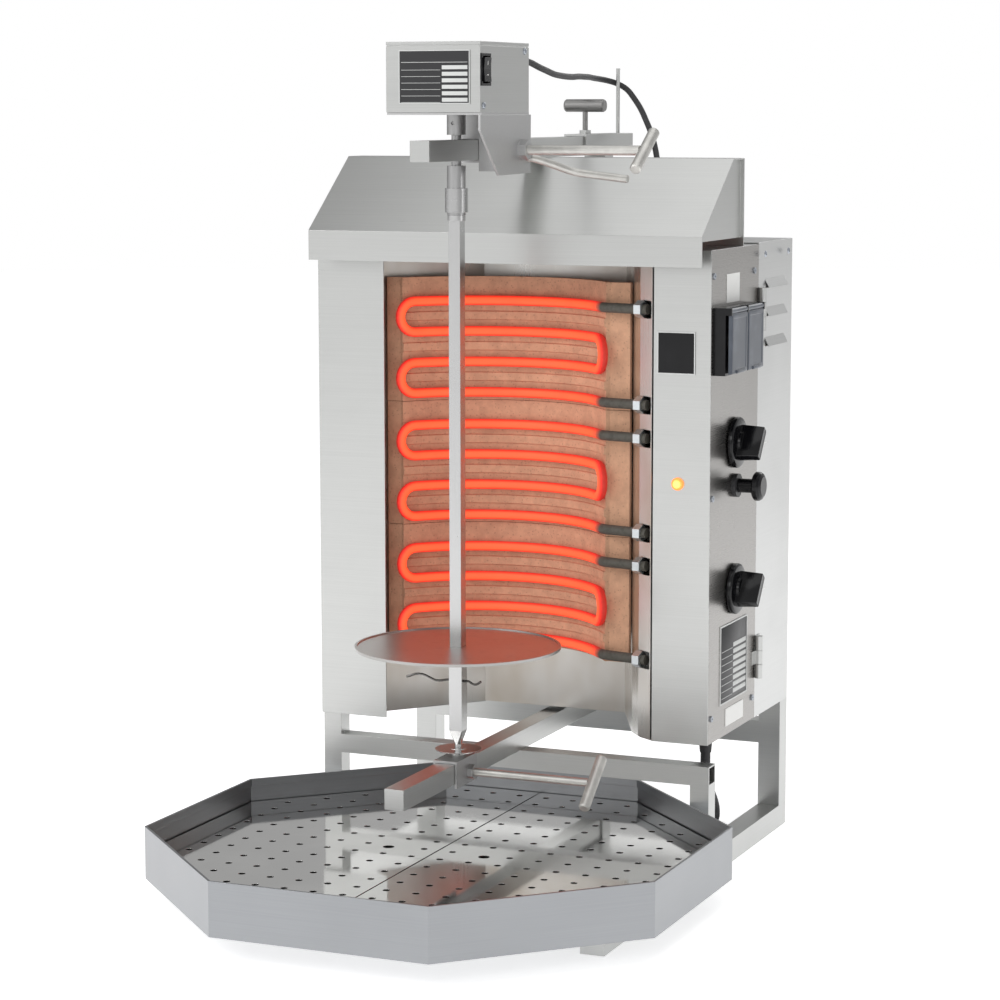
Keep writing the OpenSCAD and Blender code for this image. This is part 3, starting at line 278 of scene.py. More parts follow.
def tray_steel(name, colour):
    """The drip tray: satin walls, and a floor under its inserts darkened brown with painted
    shade, duller and rougher there.
    """
    f = Finish(name)
    scratches, wipes, tone = brushed(f, colour, FLAT_GRAIN, 0.15)
    shade_mottle = f.noise(0.05, detail=4.0)
    height = f.node("SeparateXYZ", None, f.place(), out="Z")
    facing = f.node("SeparateXYZ", None, f.node("NewGeometry", out="Normal"), out="Z")
    # The tray's floor below the inserts, where the painted shade goes
    floor = facing.step(0.6, 0.9) * (1 - height.step(0.036, 0.044))
    # Painted shade: dark brown for the floor under the inserts, mottled a little
    floor_shade = f.mix(shade_mottle, (0.05, 0.042, 0.035), (0.09, 0.075, 0.06))
    f.shade(Base_Color=f.mix(floor, tone, floor_shade), Metallic=1 - floor * 0.6,
            Roughness=0.22 + scratches * 0.10 + wipes * 0.08 + floor * 0.3)
    f.bump(scratches, 0.05, 0.0002, sizes().edge)
    return f.material


def polished(name, colour, roughness=0.10, marks=0.10):
    """Polished metal with fine scuffs and dull patches."""
    f = Finish(name)
    scuffs = f.noise(0.02, (1, 1, 5), detail=5.0, rough=0.7)
    haze = f.noise(0.09, detail=2.0)
    tone = f.mix(haze.step(0.35, 0.75), darker(colour, 0.93), colour)
    f.shade(Base_Color=tone, Metallic=1.0,
            Roughness=roughness + scuffs.step(0.5, 0.8) * marks + haze * marks * 0.6)
    f.bump(scuffs, 0.05, 0.0003, sizes().edge * 0.6)
    return f.material


def heat_dulled(name):
    """Polished sheet beside the heaters, with straw and brown tints in soft patches."""
    f = Finish(name)
    haze = f.noise(0.11, (1, 1, 0.5), detail=3.0)
    scratches = f.noise(0.5, (500, 500, 3), detail=3.0)
    tone = f.mix(haze.step(0.3, 0.8), (0.66, 0.65, 0.63), (0.48, 0.42, 0.35))
    f.shade(Base_Color=tone, Metallic=1.0, Roughness=0.18 + haze * 0.16 + scratches * 0.08)
    f.bump(scratches, 0.04, 0.0002, sizes().edge)
    return f.material


def cast_metal(name, colour=(0.66, 0.65, 0.62)):
    """Satin cast metal with a fine grain and darker, duller patches."""
    f = Finish(name)
    grain = f.noise(0.0016, detail=3.0)
    wear = f.noise(0.02, detail=3.0)
    tone = f.mix(wear.step(0.4, 0.7), darker(colour, 0.85), colour)
    f.shade(Base_Color=tone, Metallic=0.9, Roughness=0.34 + wear * 0.14 + grain * 0.08)
    f.bump(grain, 0.16, 0.0004, 0.001)
    return f.material


def zinc_plate(name):
    """Bluish zinc with faint passivation bands."""
    f = Finish(name)
    bands = f.noise(0.01, (1, 1, 0.4), detail=2.0)
    tone = f.mix(bands, (0.34, 0.37, 0.42), (0.50, 0.53, 0.57))
    f.shade(Base_Color=tone, Metallic=1.0, Roughness=0.30 + bands * 0.15)
    f.bump(f.noise(0.001), 0.10, 0.0002, 0.0006)
    return f.material


def moulded(name, colour, roughness=0.34, grain=0.0009, gloss=0.25):
    """Moulded plastic: a fine spark texture, and paler, shinier patches from handling."""
    f = Finish(name)
    texture = f.noise(grain, detail=2.0)
    handling = f.noise(0.03, detail=3.0)
    tone = f.mix(handling.step(0.45, 0.8) * 0.5, colour, darker(colour, 1.7))
    f.shade(Base_Color=tone, Roughness=roughness + texture * 0.08 - handling * 0.06,
            Coat_Weight=gloss * handling)
    f.shader.inputs["Specular IOR Level"].default_value = 0.3
    f.bump(texture, 0.12, 0.0003, 0.0007)
    return f.material


def fibre_board(name):
    """Fibre ceramic: mottled tan with dark specks and pale fibres."""
    f = Finish(name)
    mottle = f.noise(0.018, detail=5.0, rough=0.65)
    fibres = f.noise(0.003, (1, 1, 0.3), detail=3.0)
    specks = 1 - f.speckle(0.0045).step(0.12, 0.30)
    base = tuple(colours().board)
    tone = f.mix(mottle.step(0.3, 0.7), darker(base, 0.88), darker(base, 1.10))
    tone = f.mix(specks * 0.45, tone, darker(base, 0.5))
    tone = f.mix(fibres.step(0.55, 0.8) * 0.3, tone, darker(base, 1.4))
    f.shade(Base_Color=tone, Roughness=0.86 + fibres * 0.1)
    f.bump(mottle * 0.5 + fibres * 0.5 - specks * 0.3, 0.5, 0.0012)
    return f.material


def hot_tube(name):
    """Sheathed heating tube: orange core and red flanks where hot, olive grey where cold."""
    f = Finish(name)
    heat = f.node("Attribute", {"attribute_name": "tube_heat"}, out="Fac")
    face = f.node("Attribute", {"attribute_name": "tube_front"}, out="Fac")
    oxide = f.noise(0.006, detail=4.0)
    patches = f.noise(0.05, detail=2.0)
    tone = f.mix(heat, (0.085, 0.080, 0.066), (0.20, 0.035, 0.02))
    tone = f.mix(oxide.step(0.4, 0.75) * 0.5, tone, (0.035, 0.03, 0.026))
    core = face.step(0.35, 1.0) * (0.75 + patches * 0.5)
    glow = f.mix(core, tuple(colours().rim_glow), tuple(colours().glow))
    dark = (0.0, 0.0, 0.0)
    lit = f.mix(heat * (0.35 + 0.65 * face.step(-0.2, 0.9)), dark, glow)
    f.shade(Base_Color=tone, Roughness=0.55 + oxide * 0.2, Emission_Color=lit,
            Emission_Strength=TUBE_GLOW)
    f.bump(oxide, 0.2, 0.0003)
    return f.material


def rubber_sheath(name, colour=(0.022, 0.022, 0.024)):
    """Matt cable sheath with a fine grain and paler scuffs."""
    f = Finish(name)
    scuffs = f.noise(0.012, detail=4.0)
    grain = f.noise(0.0012, detail=2.0)
    tone = f.mix(scuffs.step(0.5, 0.85), colour, darker(colour, 2.4))
    f.shade(Base_Color=tone, Roughness=0.50 + scuffs * 0.2)
    f.bump(grain, 0.18, 0.0003)
    return f.material


def amber_lens(name):
    """Lit amber lens, yellow at its middle and deep orange at its rim."""
    f = Finish(name)
    ribs = f.noise(0.0015, detail=1.0)
    hot = tuple(colours().amber)
    low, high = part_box("pilot_lamp")
    across = f.node("SeparateXYZ", None, f.place(), out="X") - (low.x + high.x) / 2
    upward = f.node("SeparateXYZ", None, f.place(), out="Z") - (low.z + high.z) / 2
    out = (across * across + upward * upward) ** 0.5
    tone = f.mix(out.step(0.0025, 0.0072), (1.0, 0.62, 0.12), darker(hot, 0.8))
    tone = f.mix(ribs * 0.2, tone, (1.0, 0.75, 0.3))
    f.shade(Base_Color=tone, Roughness=0.12 + ribs * 0.05, Emission_Color=tone,
            Emission_Strength=LAMP_GLOW)
    f.bump(ribs, 0.1, 0.0002)
    return f.material


def printed(name, colour, roughness=0.42):
    """Foil or paint on a plate: an even colour with faint wear and a fine grain."""
    f = Finish(name)
    wear = f.noise(0.015, detail=4.0)
    tone = f.mix(wear.step(0.55, 0.85) * 0.35, colour, darker(colour, 0.8))
    f.shade(Base_Color=tone, Roughness=roughness + wear * 0.12)
    f.bump(f.noise(0.002), 0.06, 0.0002, 0.0003)
    return f.material


# ---- Modelling ------------------------------------------------------------------


def deselect():
    """Leaves object mode with nothing selected."""
    if bpy.context.object and bpy.context.object.mode != "OBJECT":
        bpy.ops.object.mode_set(mode="OBJECT")
    bpy.ops.object.select_all(action="DESELECT")


def only(obj):
    """Selects one object and makes it active."""
    deselect()
    obj.select_set(True)
    bpy.context.view_layer.objects.active = obj
    return obj


def edit(obj):
    """Opens one object in edit mode, with faces to pick."""
    only(obj)
    bpy.ops.object.mode_set(mode="EDIT")
    bpy.ops.mesh.select_mode(type="FACE")


def face_outwards():
    """Turns every face of the object in edit mode outwards, and leaves the mode."""
    bpy.ops.mesh.select_all(action="SELECT")
    bpy.ops.mesh.normals_make_consistent(inside=False)
    deselect()


def pick_faces(obj, wanted):
    """Selects, in edit mode, the faces for which wanted(centre, normal) is true."""
    bpy.ops.mesh.select_all(action="DESELECT")
    mesh = bmesh.from_edit_mesh(obj.data)
    for face in mesh.faces:
        face.select = bool(wanted(face.calc_center_median(), face.normal))
    mesh.select_flush_mode()
    bmesh.update_edit_mesh(obj.data)


def pick_edges(obj, wanted):
    """Selects, in edit mode, the edges for which wanted(first point, second point) is true."""
    bpy.ops.mesh.select_mode(type="EDGE")
    bpy.ops.mesh.select_all(action="DESELECT")
    mesh = bmesh.from_edit_mesh(obj.data)
    for line in mesh.edges:
        line.select = bool(wanted(line.verts[0].co, line.verts[1].co))
    mesh.select_flush_mode()
    bmesh.update_edit_mesh(obj.data)


def modify(obj, kind, **settings):
    """Puts a modifier on a piece and applies it."""
    made = obj.modifiers.new(kind.title(), kind)
    for key, value in settings.items():
        setattr(made, key, value)
    only(obj)
    bpy.ops.object.modifier_apply(modifier=made.name)


def block(low, high, round_by=0.0, segments=2):
    """A block between two corners, its edges bevelled."""
    low, high = Vector(low), Vector(high)
    deselect()
    bpy.ops.mesh.primitive_cube_add(size=1, location=(low + high) / 2)
    obj = bpy.context.object
    obj.scale = high - low
    bpy.ops.object.transform_apply(location=True, rotation=True, scale=True)
    if round_by:
        edit(obj)
        bpy.ops.mesh.select_all(action="SELECT")
        bpy.ops.mesh.bevel(offset=round_by, segments=segments, affect="EDGES")
        deselect()
    return obj


def turned(profile, steps=48):
    """A turned piece along +Z, extruded circle by circle from (radius, height) pairs."""
    deselect()
    radius, start = profile[0]
    bpy.ops.mesh.primitive_circle_add(
        vertices=steps, radius=radius, fill_type="NGON", location=(0, 0, start))
    obj = bpy.context.object
    bpy.ops.object.transform_apply(location=True, rotation=True, scale=True)
    edit(obj)
    bpy.ops.mesh.select_all(action="SELECT")
    for (r0, h0), (r1, h1) in zip(profile, profile[1:]):
        bpy.ops.mesh.extrude_region_move(TRANSFORM_OT_translate={"value": (0, 0, h1 - h0)})
        bpy.ops.transform.resize(value=(r1 / r0, r1 / r0, 1), center_override=(0, 0, h1))
    face_outwards()
    return obj


def joined(pieces):
    """Several objects made one."""
    only(pieces[0])
    for obj in pieces:
        obj.select_set(True)
    bpy.ops.object.join()
    return pieces[0]


def onto(obj, origin, outward, up=(0, 0, 1)):
    """Turns a piece that was made along +Z so that it stands on origin and points outward."""
    z = Vector(outward).normalized()
    x = Vector(up).cross(z)
    if x.length < 1e-6:
        x = Vector((1, 0, 0))
    x.normalize()
    turn = Matrix((x, z.cross(x), z)).transposed().to_4x4()
    obj.matrix_world = Matrix.Translation(origin) @ turn
    only(obj)
    bpy.ops.object.transform_apply(location=True, rotation=True, scale=True)
    return obj


def keep(obj, name, body, material, smooth=32):
    """Names a finished piece, gives it its finish and lets it ride on its body."""
    only(obj)
    bpy.ops.object.transform_apply(location=True, rotation=True, scale=True)
    bpy.ops.object.shade_smooth_by_angle(angle=math.radians(smooth))
    obj.name = obj.data.name = name
    obj.data.materials.clear()
    obj.data.materials.append(material)
    if body:
        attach(obj, body)
    deselect()
    return obj


def line_tube(points, diameter, name, fineness):
    """A round tube of 4 + 2 * fineness sides along a line of points, closed at its ends."""
    deselect()
    curve = bpy.data.curves.new(name, "CURVE")
    curve.dimensions = "3D"
    curve.bevel_depth = diameter / 2
    curve.bevel_resolution = fineness
    curve.use_fill_caps = True
    curve.twist_mode = "MINIMUM"
    spline = curve.splines.new("POLY")
    spline.points.add(len(points) - 1)
    for point, at in zip(spline.points, points):
        point.co = (*at, 1.0)
    obj = bpy.data.objects.new(name, curve)
    bpy.context.collection.objects.link(obj)
    only(obj)
    bpy.ops.object.convert(target="MESH")
    edit(obj)
    face_outwards()
    return obj


def eased(points, steps):
    """A smooth line through points, steps to a stretch, as the part's source eases them."""
    line = []
    for i in range(len(points) - 1):
        p0 = points[max(0, i - 1)]
        p1, p2 = points[i], points[i + 1]
        p3 = points[min(len(points) - 1, i + 2)]
        for k in range(steps):
            t = k / steps
            line.append(0.5 * (2 * p1 + (p2 - p0) * t
                               + (2 * p0 - 5 * p1 + 4 * p2 - p3) * t * t
                               + (3 * p1 - p0 - 3 * p2 + p3) * t ** 3))
    line.append(points[-1].copy())
    return line


def length_of(line):
    """Length along a line of points."""
    return sum((b - a).length for a, b in zip(line, line[1:]))


# ---- Cables ---------------------------------------------------------------------

# Routes of the cables, as the part's source has them: X, depth, height
MOTOR_ROUTE = [
    (46, -60.7, 1026), (46, -50, 1025.5), (46, -36, 1023.5), (45, -10, 1019),
    (41, 25, 1015), (36, 60, 1011.5), (30, 95, 1010), (22, 140, 1009), (13, 185, 1009),
    (3, 230, 1010), (-6, 275, 1010), (-14, 312, 1010), (-18, 338, 1009),
    (-18, 358, 1008), (-13, 376, 1006), (-3, 388, 1002), (10, 393, 994), (22, 391, 981),
    (33, 387, 967), (43, 380, 952), (53, 371, 937), (63, 359, 920), (72, 345, 902),
    (80, 330, 884), (87, 314, 868), (92, 300, 855), (95, 288, 845), (96, 282.5, 836),
    (96, 282, 827),
]
MAINS_ROUTE = [
    (229, 112, 140), (229, 112, 127), (229, 113, 113), (230, 118, 98), (231, 126, 84),
    (232, 136, 70), (231, 146, 57), (228, 154, 44), (221, 159, 31), (211, 161, 20),
    (197, 161, 11.5), (180, 161, 7.4), (162, 161, 6.7), (130, 161, 6.7), (100, 161, 6.7),
    (86, 161, 6.7), (73, 161, 6.7),
]
TAIL_ROUTE = [
    (47, 161, 20.2), (34, 161, 20.2), (12, 161, 19.8), (-10, 161, 19.8),
    (-24, 161, 20.2), (-37, 161, 20.2),
]
# Centre, radii, turns, turns that a change of radius takes, climb, lowest height, and
# points to a turn
COIL = {"x": 60, "d": 240, "outer": 79, "inner": 58.75, "loops": 3, "wound": 1.25,
        "rise": 13.5, "floor": 6.7, "steps": 28}


def coil_line():
    """The stored turns: in, round at the inner radius while climbing, and out on top."""
    line = []
    for k in range(COIL["loops"] * COIL["steps"] + 1):
        turn = k / COIL["steps"]
        inward = min(1.0, turn / COIL["wound"])
        outward = max(0.0, (turn - COIL["loops"] + COIL["wound"]) / COIL["wound"])
        radius = COIL["outer"] - (COIL["outer"] - COIL["inner"]) * (inward - outward)
        part = min(1.0, max(0.0, (turn - COIL["wound"]) * 2))
        z = COIL["floor"] + COIL["rise"] * (1 - math.cos(math.pi * part)) / 2
        angle = math.radians(-90 - 360 * turn)
        line.append(mm_point(COIL["x"] + radius * math.cos(angle),
                             COIL["d"] + radius * math.sin(angle), z))
    return line


class GRILL_OT_motor_cable(bpy.types.Operator):
    """Cable from the motor box over the guide to the rear box"""

    bl_idname = "grill.motor_cable"
    bl_label = "Motor cable"

    def execute(self, context):
        line = eased([mm_point(*p) for p in MOTOR_ROUTE], 4)
        obj = line_tube(line, sizes().motor_cable_d, "motor_lead", 4)
        keep(obj, "motor_lead", None, rubber_sheath("Motor lead sheath"), 60)
        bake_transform(obj)
        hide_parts("motor_cable")
        length_of(line)
        return {"FINISHED"}


class GRILL_OT_mains_cable(bpy.types.Operator):
    """Mains cable from the control bay, its stored turns and its plug's lead"""

    bl_idname = "grill.mains_cable"
    bl_label = "Mains cable"

    def execute(self, context):
        down = eased([mm_point(*p) for p in MAINS_ROUTE], 4)
        tail = eased([mm_point(*p) for p in TAIL_ROUTE], 3)
        line = down[:-1] + coil_line() + tail
        line = [p for i, p in enumerate(line) if i == 0 or (p - line[i - 1]).length > 1e-4]
        obj = line_tube(line, sizes().mains_d, "mains_lead", 5)
        keep(obj, "mains_lead", "stand", rubber_sheath("Mains lead sheath"),
             60)
        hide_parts("mains_cable", "mains_coil")
        length_of(line)
        return {"FINISHED"}


# ---- Heating tubes --------------------------------------------------------------

# Centre of the runs' arc, and the boards' upper edges
ARC_X = -22
ARC_D = -66
BOARD_TOPS = (751, 589, 427)
# First run below the board's edge, and the angle on the arc where the runs end
FIRST_RUN_DROP = 31
RUN_END = 39
# A cold end: straight lead, bend in degrees and its radius, and the straight end
COLD_LEAD = 8
COLD_TURN = 38
COLD_TURN_R = 30
COLD_LENGTH = 58
# Stretches to a run, to a bend between runs and to a cold end's bend
RUN_STEPS = 40
BEND_STEPS = 12
COLD_STEPS = 6
# Points over which a tube warms up, and how many of them lie before the first run
WARM_POINTS = 5
WARM_BEFORE = 3


def plan(radius, degrees):
    """A horizontal step of the given length and direction, in millimetres."""
    turn = math.radians(degrees)
    return Vector((radius * math.cos(turn), radius * math.sin(turn), 0))


def tube_line(board_top):
    """Centre line of one heating tube, with how hot it is at each point."""
    arc = sizes().arc_r / MM
    pitch = sizes().run_pitch / MM
    centre = Vector((ARC_X, ARC_D, 0))

    def run(i):
        z = Vector((0, 0, board_top - FIRST_RUN_DROP - i * pitch))
        a0 = RUN_END if i % 2 == 0 else 180 - RUN_END
        return [centre + plan(arc, a0 + (180 - 2 * a0) * k / RUN_STEPS) + z
                for k in range(RUN_STEPS + 1)]

    def bend(i):
        right = i % 2 == 1
        a = RUN_END if right else 180 - RUN_END
        out = plan(1, a - 90 if right else a + 90)
        top = centre + plan(arc, a) + Vector((0, 0, board_top - FIRST_RUN_DROP - i * pitch))
        half = pitch / 2
        return [top + half * math.sin(math.pi * k / BEND_STEPS) * out
                - Vector((0, 0, half * (1 - math.cos(math.pi * k / BEND_STEPS))))
                for k in range(1, BEND_STEPS)]

    def cold(i):
        z = Vector((0, 0, board_top - FIRST_RUN_DROP - i * pitch))
        lead = RUN_END - 90
        start = centre + plan(arc, RUN_END) + plan(COLD_LEAD, lead)
        hub = start + plan(COLD_TURN_R, lead + 90)
        turn = [hub + plan(COLD_TURN_R, lead - 90 + COLD_TURN * k / COLD_STEPS)
                for k in range(COLD_STEPS + 1)]
        return [p + z for p in turn + [turn[-1] + plan(COLD_LENGTH / 2, lead + COLD_TURN),
                                       turn[-1] + plan(COLD_LENGTH, lead + COLD_TURN)]]

    first, last = cold(0)[::-1], cold(3)
    hot = run(0) + bend(0) + run(1) + bend(1) + run(2) + bend(2) + run(3)
    line = first + hot + last
    heat = []
    for k in range(len(line)):
        inside = min(k - len(first) + 1, len(first) + len(hot) - k)
        heat.append(max(0.0, min(1.0, (inside + WARM_BEFORE) / WARM_POINTS)))
    return [mm_point(*p) for p in line], heat


def mark_heat(obj, line, heat):
    """Stores on each point how hot the tube is there and how far it faces the meat."""
    hub = mm_point(ARC_X, ARC_D, 0)
    hot, face = [], []
    for vertex in obj.data.vertices:
        near = min(range(len(line)), key=lambda k: (line[k] - vertex.co).length_squared)
        hot.append(heat[near])
        inward = hub - line[near]
        inward.z = 0
        face.append(vertex.normal.dot(inward.normalized()))
    for name, values in (("tube_heat", hot), ("tube_front", face)):
        made = obj.data.attributes.new(name, "FLOAT", "POINT")
        made.data.foreach_set("value", values)


class GRILL_OT_heating_tubes(bpy.types.Operator):
    """Three glowing heating tubes, each bent into four runs"""

    bl_idname = "grill.heating_tubes"
    bl_label = "Heating tubes"

    def execute(self, context):
        finish = hot_tube("Heating tube sheath")
        for number, top in enumerate(BOARD_TOPS, 1):
            name = "heating_tube_%d" % number
            line, heat = tube_line(top)
            obj = line_tube(line, sizes().tube_d, name, 5)
            mark_heat(obj, line, heat)
            keep(obj, name, "stand", finish, 60)
            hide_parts("heater_element_%d" % number)
        return {"FINISHED"}


# ---- Controls -------------------------------------------------------------------

# Outer face of the door, and the knobs: heights of their centres, and their depth
DOOR_X = 270
KNOBS = (("upper", 548), ("lower", 360))
KNOB_D = 96
# A knob's skirt, and its grip: length, width, height and how far it is turned
SKIRT_H = 7
GRIP = (46, 13, 29)
GRIP_TURN = 54
# Front edges of the socket lids, and the sizes that the two share
LIDS = (("front", 11.3), ("rear", 75.8))
LID = {"x": 289, "thick": 5, "wide": 60.9, "low": 642, "pin_x": 290.5, "pin_z": 720,
       "pin_r": 3.5}


def heat_knob(z):
    """One knob on the door: a rounded skirt, a hub and a bar grip."""
    r = sizes().knob_d / MM / 2
    skirt = turned([(k * MM, h * MM) for k, h in (
        (r - 0.8, 0), (r, 0.8), (r, SKIRT_H - 2.6), (r - 0.5, SKIRT_H - 1.3),
        (r - 1.8, SKIRT_H - 0.4), (r - 3.4, SKIRT_H), (r - 15, SKIRT_H + 0.1),
        (r - 18.4, SKIRT_H + 0.6), (r - 19, SKIRT_H + 3.6), (r - 20, SKIRT_H + 4))], 72)
    length, width, height = GRIP
    grip = block((-length / 2 * MM, -width / 2 * MM, (SKIRT_H - 1) * MM),
                 (length / 2 * MM, width / 2 * MM, (SKIRT_H + height) * MM))
    edit(grip)
    pick_faces(grip, lambda at, out: out.z > 0.9)
    bpy.ops.transform.resize(value=(0.93, 0.86, 1),
                             center_override=(0, 0, (SKIRT_H + height) * MM))
    bpy.ops.mesh.inset(thickness=1.6 * MM)
    bpy.ops.transform.translate(value=(0, 0, -0.5 * MM))
    pick_edges(grip, lambda a, b: max(a.z, b.z) > (SKIRT_H + 0.1) * MM
               and not (a.z < SKIRT_H * MM and b.z < SKIRT_H * MM))
    bpy.ops.mesh.bevel(offset=0.9 * MM, segments=3, affect="EDGES")
    grip.rotation_euler[2] = math.radians(GRIP_TURN)
    knob = joined([skirt, grip])
    return onto(knob, mm_point(DOOR_X + 1, KNOB_D, z), (1, 0, 0))


def knob_pointer(z):
    """The white line along the end of a knob's grip."""
    top = SKIRT_H + GRIP[2] - 0.6
    line = block((6 * MM, -0.8 * MM, (top - 0.3) * MM),
                 (GRIP[0] / 2 * 0.9 * MM - 1.8 * MM, 0.8 * MM, (top + 0.35) * MM), 0.25 * MM)
    line.rotation_euler[2] = math.radians(GRIP_TURN)
    return onto(line, mm_point(DOOR_X + 1, KNOB_D, z), (1, 0, 0))


class GRILL_OT_heat_knobs(bpy.types.Operator):
    """Two heat knobs with bar grips and a white pointer each"""

    bl_idname = "grill.heat_knobs"
    bl_label = "Heat knobs"

    def execute(self, context):
        black = moulded("Knob plastic", tuple(colours().plastic), 0.12, 0.0012, 0.1)
        white = printed("Pointer paint", (0.75, 0.75, 0.73))
        for name, z in KNOBS:
            knob = keep(heat_knob(z), "dial_" + name, "knob_" + name, black)
            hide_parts("heat_knob_" + name)
            keep(knob_pointer(z), "dial_pointer_" + name, "knob_" + name,
                 white)
        return {"FINISHED"}


class GRILL_OT_socket_lids(bpy.types.Operator):
    """Two sprung lids with rounded edges, a raised field, a hinge barrel and a thumb lip"""

    bl_idname = "grill.socket_lids"
    bl_label = "Socket lids"

    def execute(self, context):
        grey = moulded("Lid plastic", tuple(colours().lid), 0.30, 0.0011, 0.2)
        for name, d0 in LIDS:
            d1 = d0 + LID["wide"]
            x0, x1 = LID["x"], LID["x"] + LID["thick"]
            flap = block(mm_point(x0, d0, LID["low"]), mm_point(x1, d1, LID["pin_z"] - 3))
            edit(flap)
            pick_edges(flap, lambda a, b: min(a.x, b.x) > (x1 - 0.1) * MM)
            bpy.ops.mesh.bevel(offset=1.8 * MM, segments=4, affect="EDGES")
            bpy.ops.mesh.select_mode(type="FACE")
            pick_faces(flap, lambda at, out: out.x > 0.99)
            bpy.ops.mesh.inset(thickness=4 * MM)
            bpy.ops.mesh.inset(thickness=0.7 * MM, depth=-0.5 * MM)
            barrel = turned([(r * MM, h * MM) for r, h in (
                (LID["pin_r"] - 0.5, 0), (LID["pin_r"], 0.5),
                (LID["pin_r"], LID["wide"] - 0.5), (LID["pin_r"] - 0.5, LID["wide"]))], 32)
            onto(barrel, mm_point(LID["pin_x"], d0, LID["pin_z"]), (0, 1, 0))
            lip = block(mm_point(x1 - 1.5, d0 + LID["wide"] * 0.25, LID["low"] + 0.2),
                        mm_point(x1 + 2, d1 - LID["wide"] * 0.25, LID["low"] + 4), 0.8 * MM, 3)
            lid = keep(joined([flap, barrel, lip]), "lid_" + name + "_shell",
                       "lid_" + name, grey)
            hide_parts("socket_lid_" + name)
        return {"FINISHED"}


def ring_mark(radius, thick, height, steps=32):
    """A flat painted ring along +Z."""
    ring = turned([(radius, 0), (radius, height)], steps)
    edit(ring)
    pick_faces(ring, lambda at, out: abs(out.z) > 0.9)
    bpy.ops.mesh.inset(thickness=thick)
    bpy.ops.mesh.bridge_edge_loops()
    deselect()
    return ring


class GRILL_OT_switch_marks(bpy.types.Operator):
    """The plain on and off marks of the motor's rocker"""

    bl_idname = "grill.switch_marks"
    bl_label = "Switch marks"

    def execute(self, context):
        white = printed("Rocker paint", (0.72, 0.72, 0.70))
        low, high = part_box("motor_switch")
        middle = (low + high) / 2
        bar = block((middle.x + 0.0015, middle.y - 0.0006, middle.z + 0.0055),
                    (middle.x + 0.0034, middle.y + 0.0006, middle.z + 0.0105), 0.0001)
        keep(bar, "rocker_on_mark", "rocker", white)
        ring = ring_mark(0.0028, 0.0009, 0.0012)
        onto(ring, (high.x - 0.0019, middle.y, middle.z - 0.008), (1, 0, -0.09))
        keep(ring, "rocker_off_mark", "rocker", white)
        return {"FINISHED"}


# ---- Blank plates ---------------------------------------------------------------

# Blank plates; a row on one of them is a thin line with a field beside it
PLATE_PROUD = 0.35
LABEL = {"left": -44, "right": 48, "low": 974, "top": 1037, "front": -232.8,
         "rows": 6, "first": 1019, "pitch": 7.6, "line_end": 10, "field_start": 12,
         "head_line": (1022.4, 1023)}
BADGE = {"left": 200, "right": 250, "low": 641, "top": 694, "front": -1}
RATING = {"near": 45, "far": 152, "low": 216, "top": 318, "face": DOOR_X + 0.6,
          "rows": 8, "first": 290, "pitch": 8.6, "line_end": 93, "field_start": 96}


def frame_on(low, high, border, axis):
    """A raised border round a plate, from its two corners; axis is across the plate."""
    obj = block(low, high)
    edit(obj)
    pick_faces(obj, lambda at, out: abs(out[axis]) > 0.9)
    bpy.ops.mesh.inset(thickness=border)
    bpy.ops.mesh.bridge_edge_loops()
    deselect()
    return obj


class GRILL_OT_blank_plates(bpy.types.Operator):
    """Borders and empty fields of the motor box's label, the badge and the rating plate"""

    bl_idname = "grill.blank_plates"
    bl_label = "Blank plates"

    def execute(self, context):
        pale = printed("Plate field paint", (0.62, 0.63, 0.62), 0.38)
        black = printed("Plate ground", (0.016, 0.016, 0.018), 0.3)
        front = LABEL["front"]
        ground = frame_on(mm_point(LABEL["left"], front - PLATE_PROUD, LABEL["low"]),
                          mm_point(LABEL["right"], front - 0.01, LABEL["top"]), 1.1 * MM, 1)
        keep(ground, "label_border", "carriage", pale)
        start, end = LABEL["left"] + 3, LABEL["right"] - 3
        fields = []
        for row in range(LABEL["rows"]):
            z = LABEL["first"] - LABEL["pitch"] * row
            fields.append(block(mm_point(LABEL["field_start"], front - 0.25, z - 4.6),
                                mm_point(end, front, z), 0.1 * MM))
            fields.append(block(mm_point(start, front - 0.2, z - 5.6),
                                mm_point(LABEL["line_end"], front, z - 5.1), 0.1 * MM))
        line_low, line_top = LABEL["head_line"]
        fields.append(block(mm_point(start, front - 0.2, line_low),
                            mm_point(end, front, line_top), 0.1 * MM))
        keep(joined(fields), "label_fields", "carriage", pale)
        front = BADGE["front"]
        badge = frame_on(mm_point(BADGE["left"], front - PLATE_PROUD, BADGE["low"]),
                         mm_point(BADGE["right"], front - 0.01, BADGE["top"]), 1.5 * MM, 1)
        keep(badge, "badge_border", "stand", pale)
        near, far, face = RATING["near"], RATING["far"], RATING["face"]
        card = block(mm_point(face + 0.01, near + 1, RATING["low"] + 1),
                     mm_point(face + 0.16, far - 1, RATING["top"] - 1), 0.05 * MM)
        keep(card, "rating_ground", "door", black)
        rim = frame_on(mm_point(face + 0.01, near, RATING["low"]),
                       mm_point(face + 0.5, far, RATING["top"]), 2 * MM, 0)
        keep(rim, "rating_border", "door", pale)
        fields = []
        for row in range(RATING["rows"]):
            z = RATING["first"] - RATING["pitch"] * row
            fields.append(block(mm_point(face + 0.1, RATING["field_start"], z - 5.6),
                                mm_point(face + 0.35, far - 5, z), 0.08 * MM))
            fields.append(block(mm_point(face + 0.1, near + 5, z - 6.6),
                                mm_point(face + 0.3, RATING["line_end"], z - 5.9),
                                0.08 * MM))
        keep(joined(fields), "rating_fields", "door", pale)
        return {"FINISHED"}


# ---- Screws ---------------------------------------------------------------------

SCREW_R = 0.0042
SCREW_H = 0.0019
SCREWS = (
    # name, body, node whose right side they are on, (depth, height) of each
    ("box_screw", "stand", "rear_box", ((195, 782), (293, 782))),
    ("motor_screw", "carriage", "motor_box", ((-96, 1037), (-222, 972))),
)


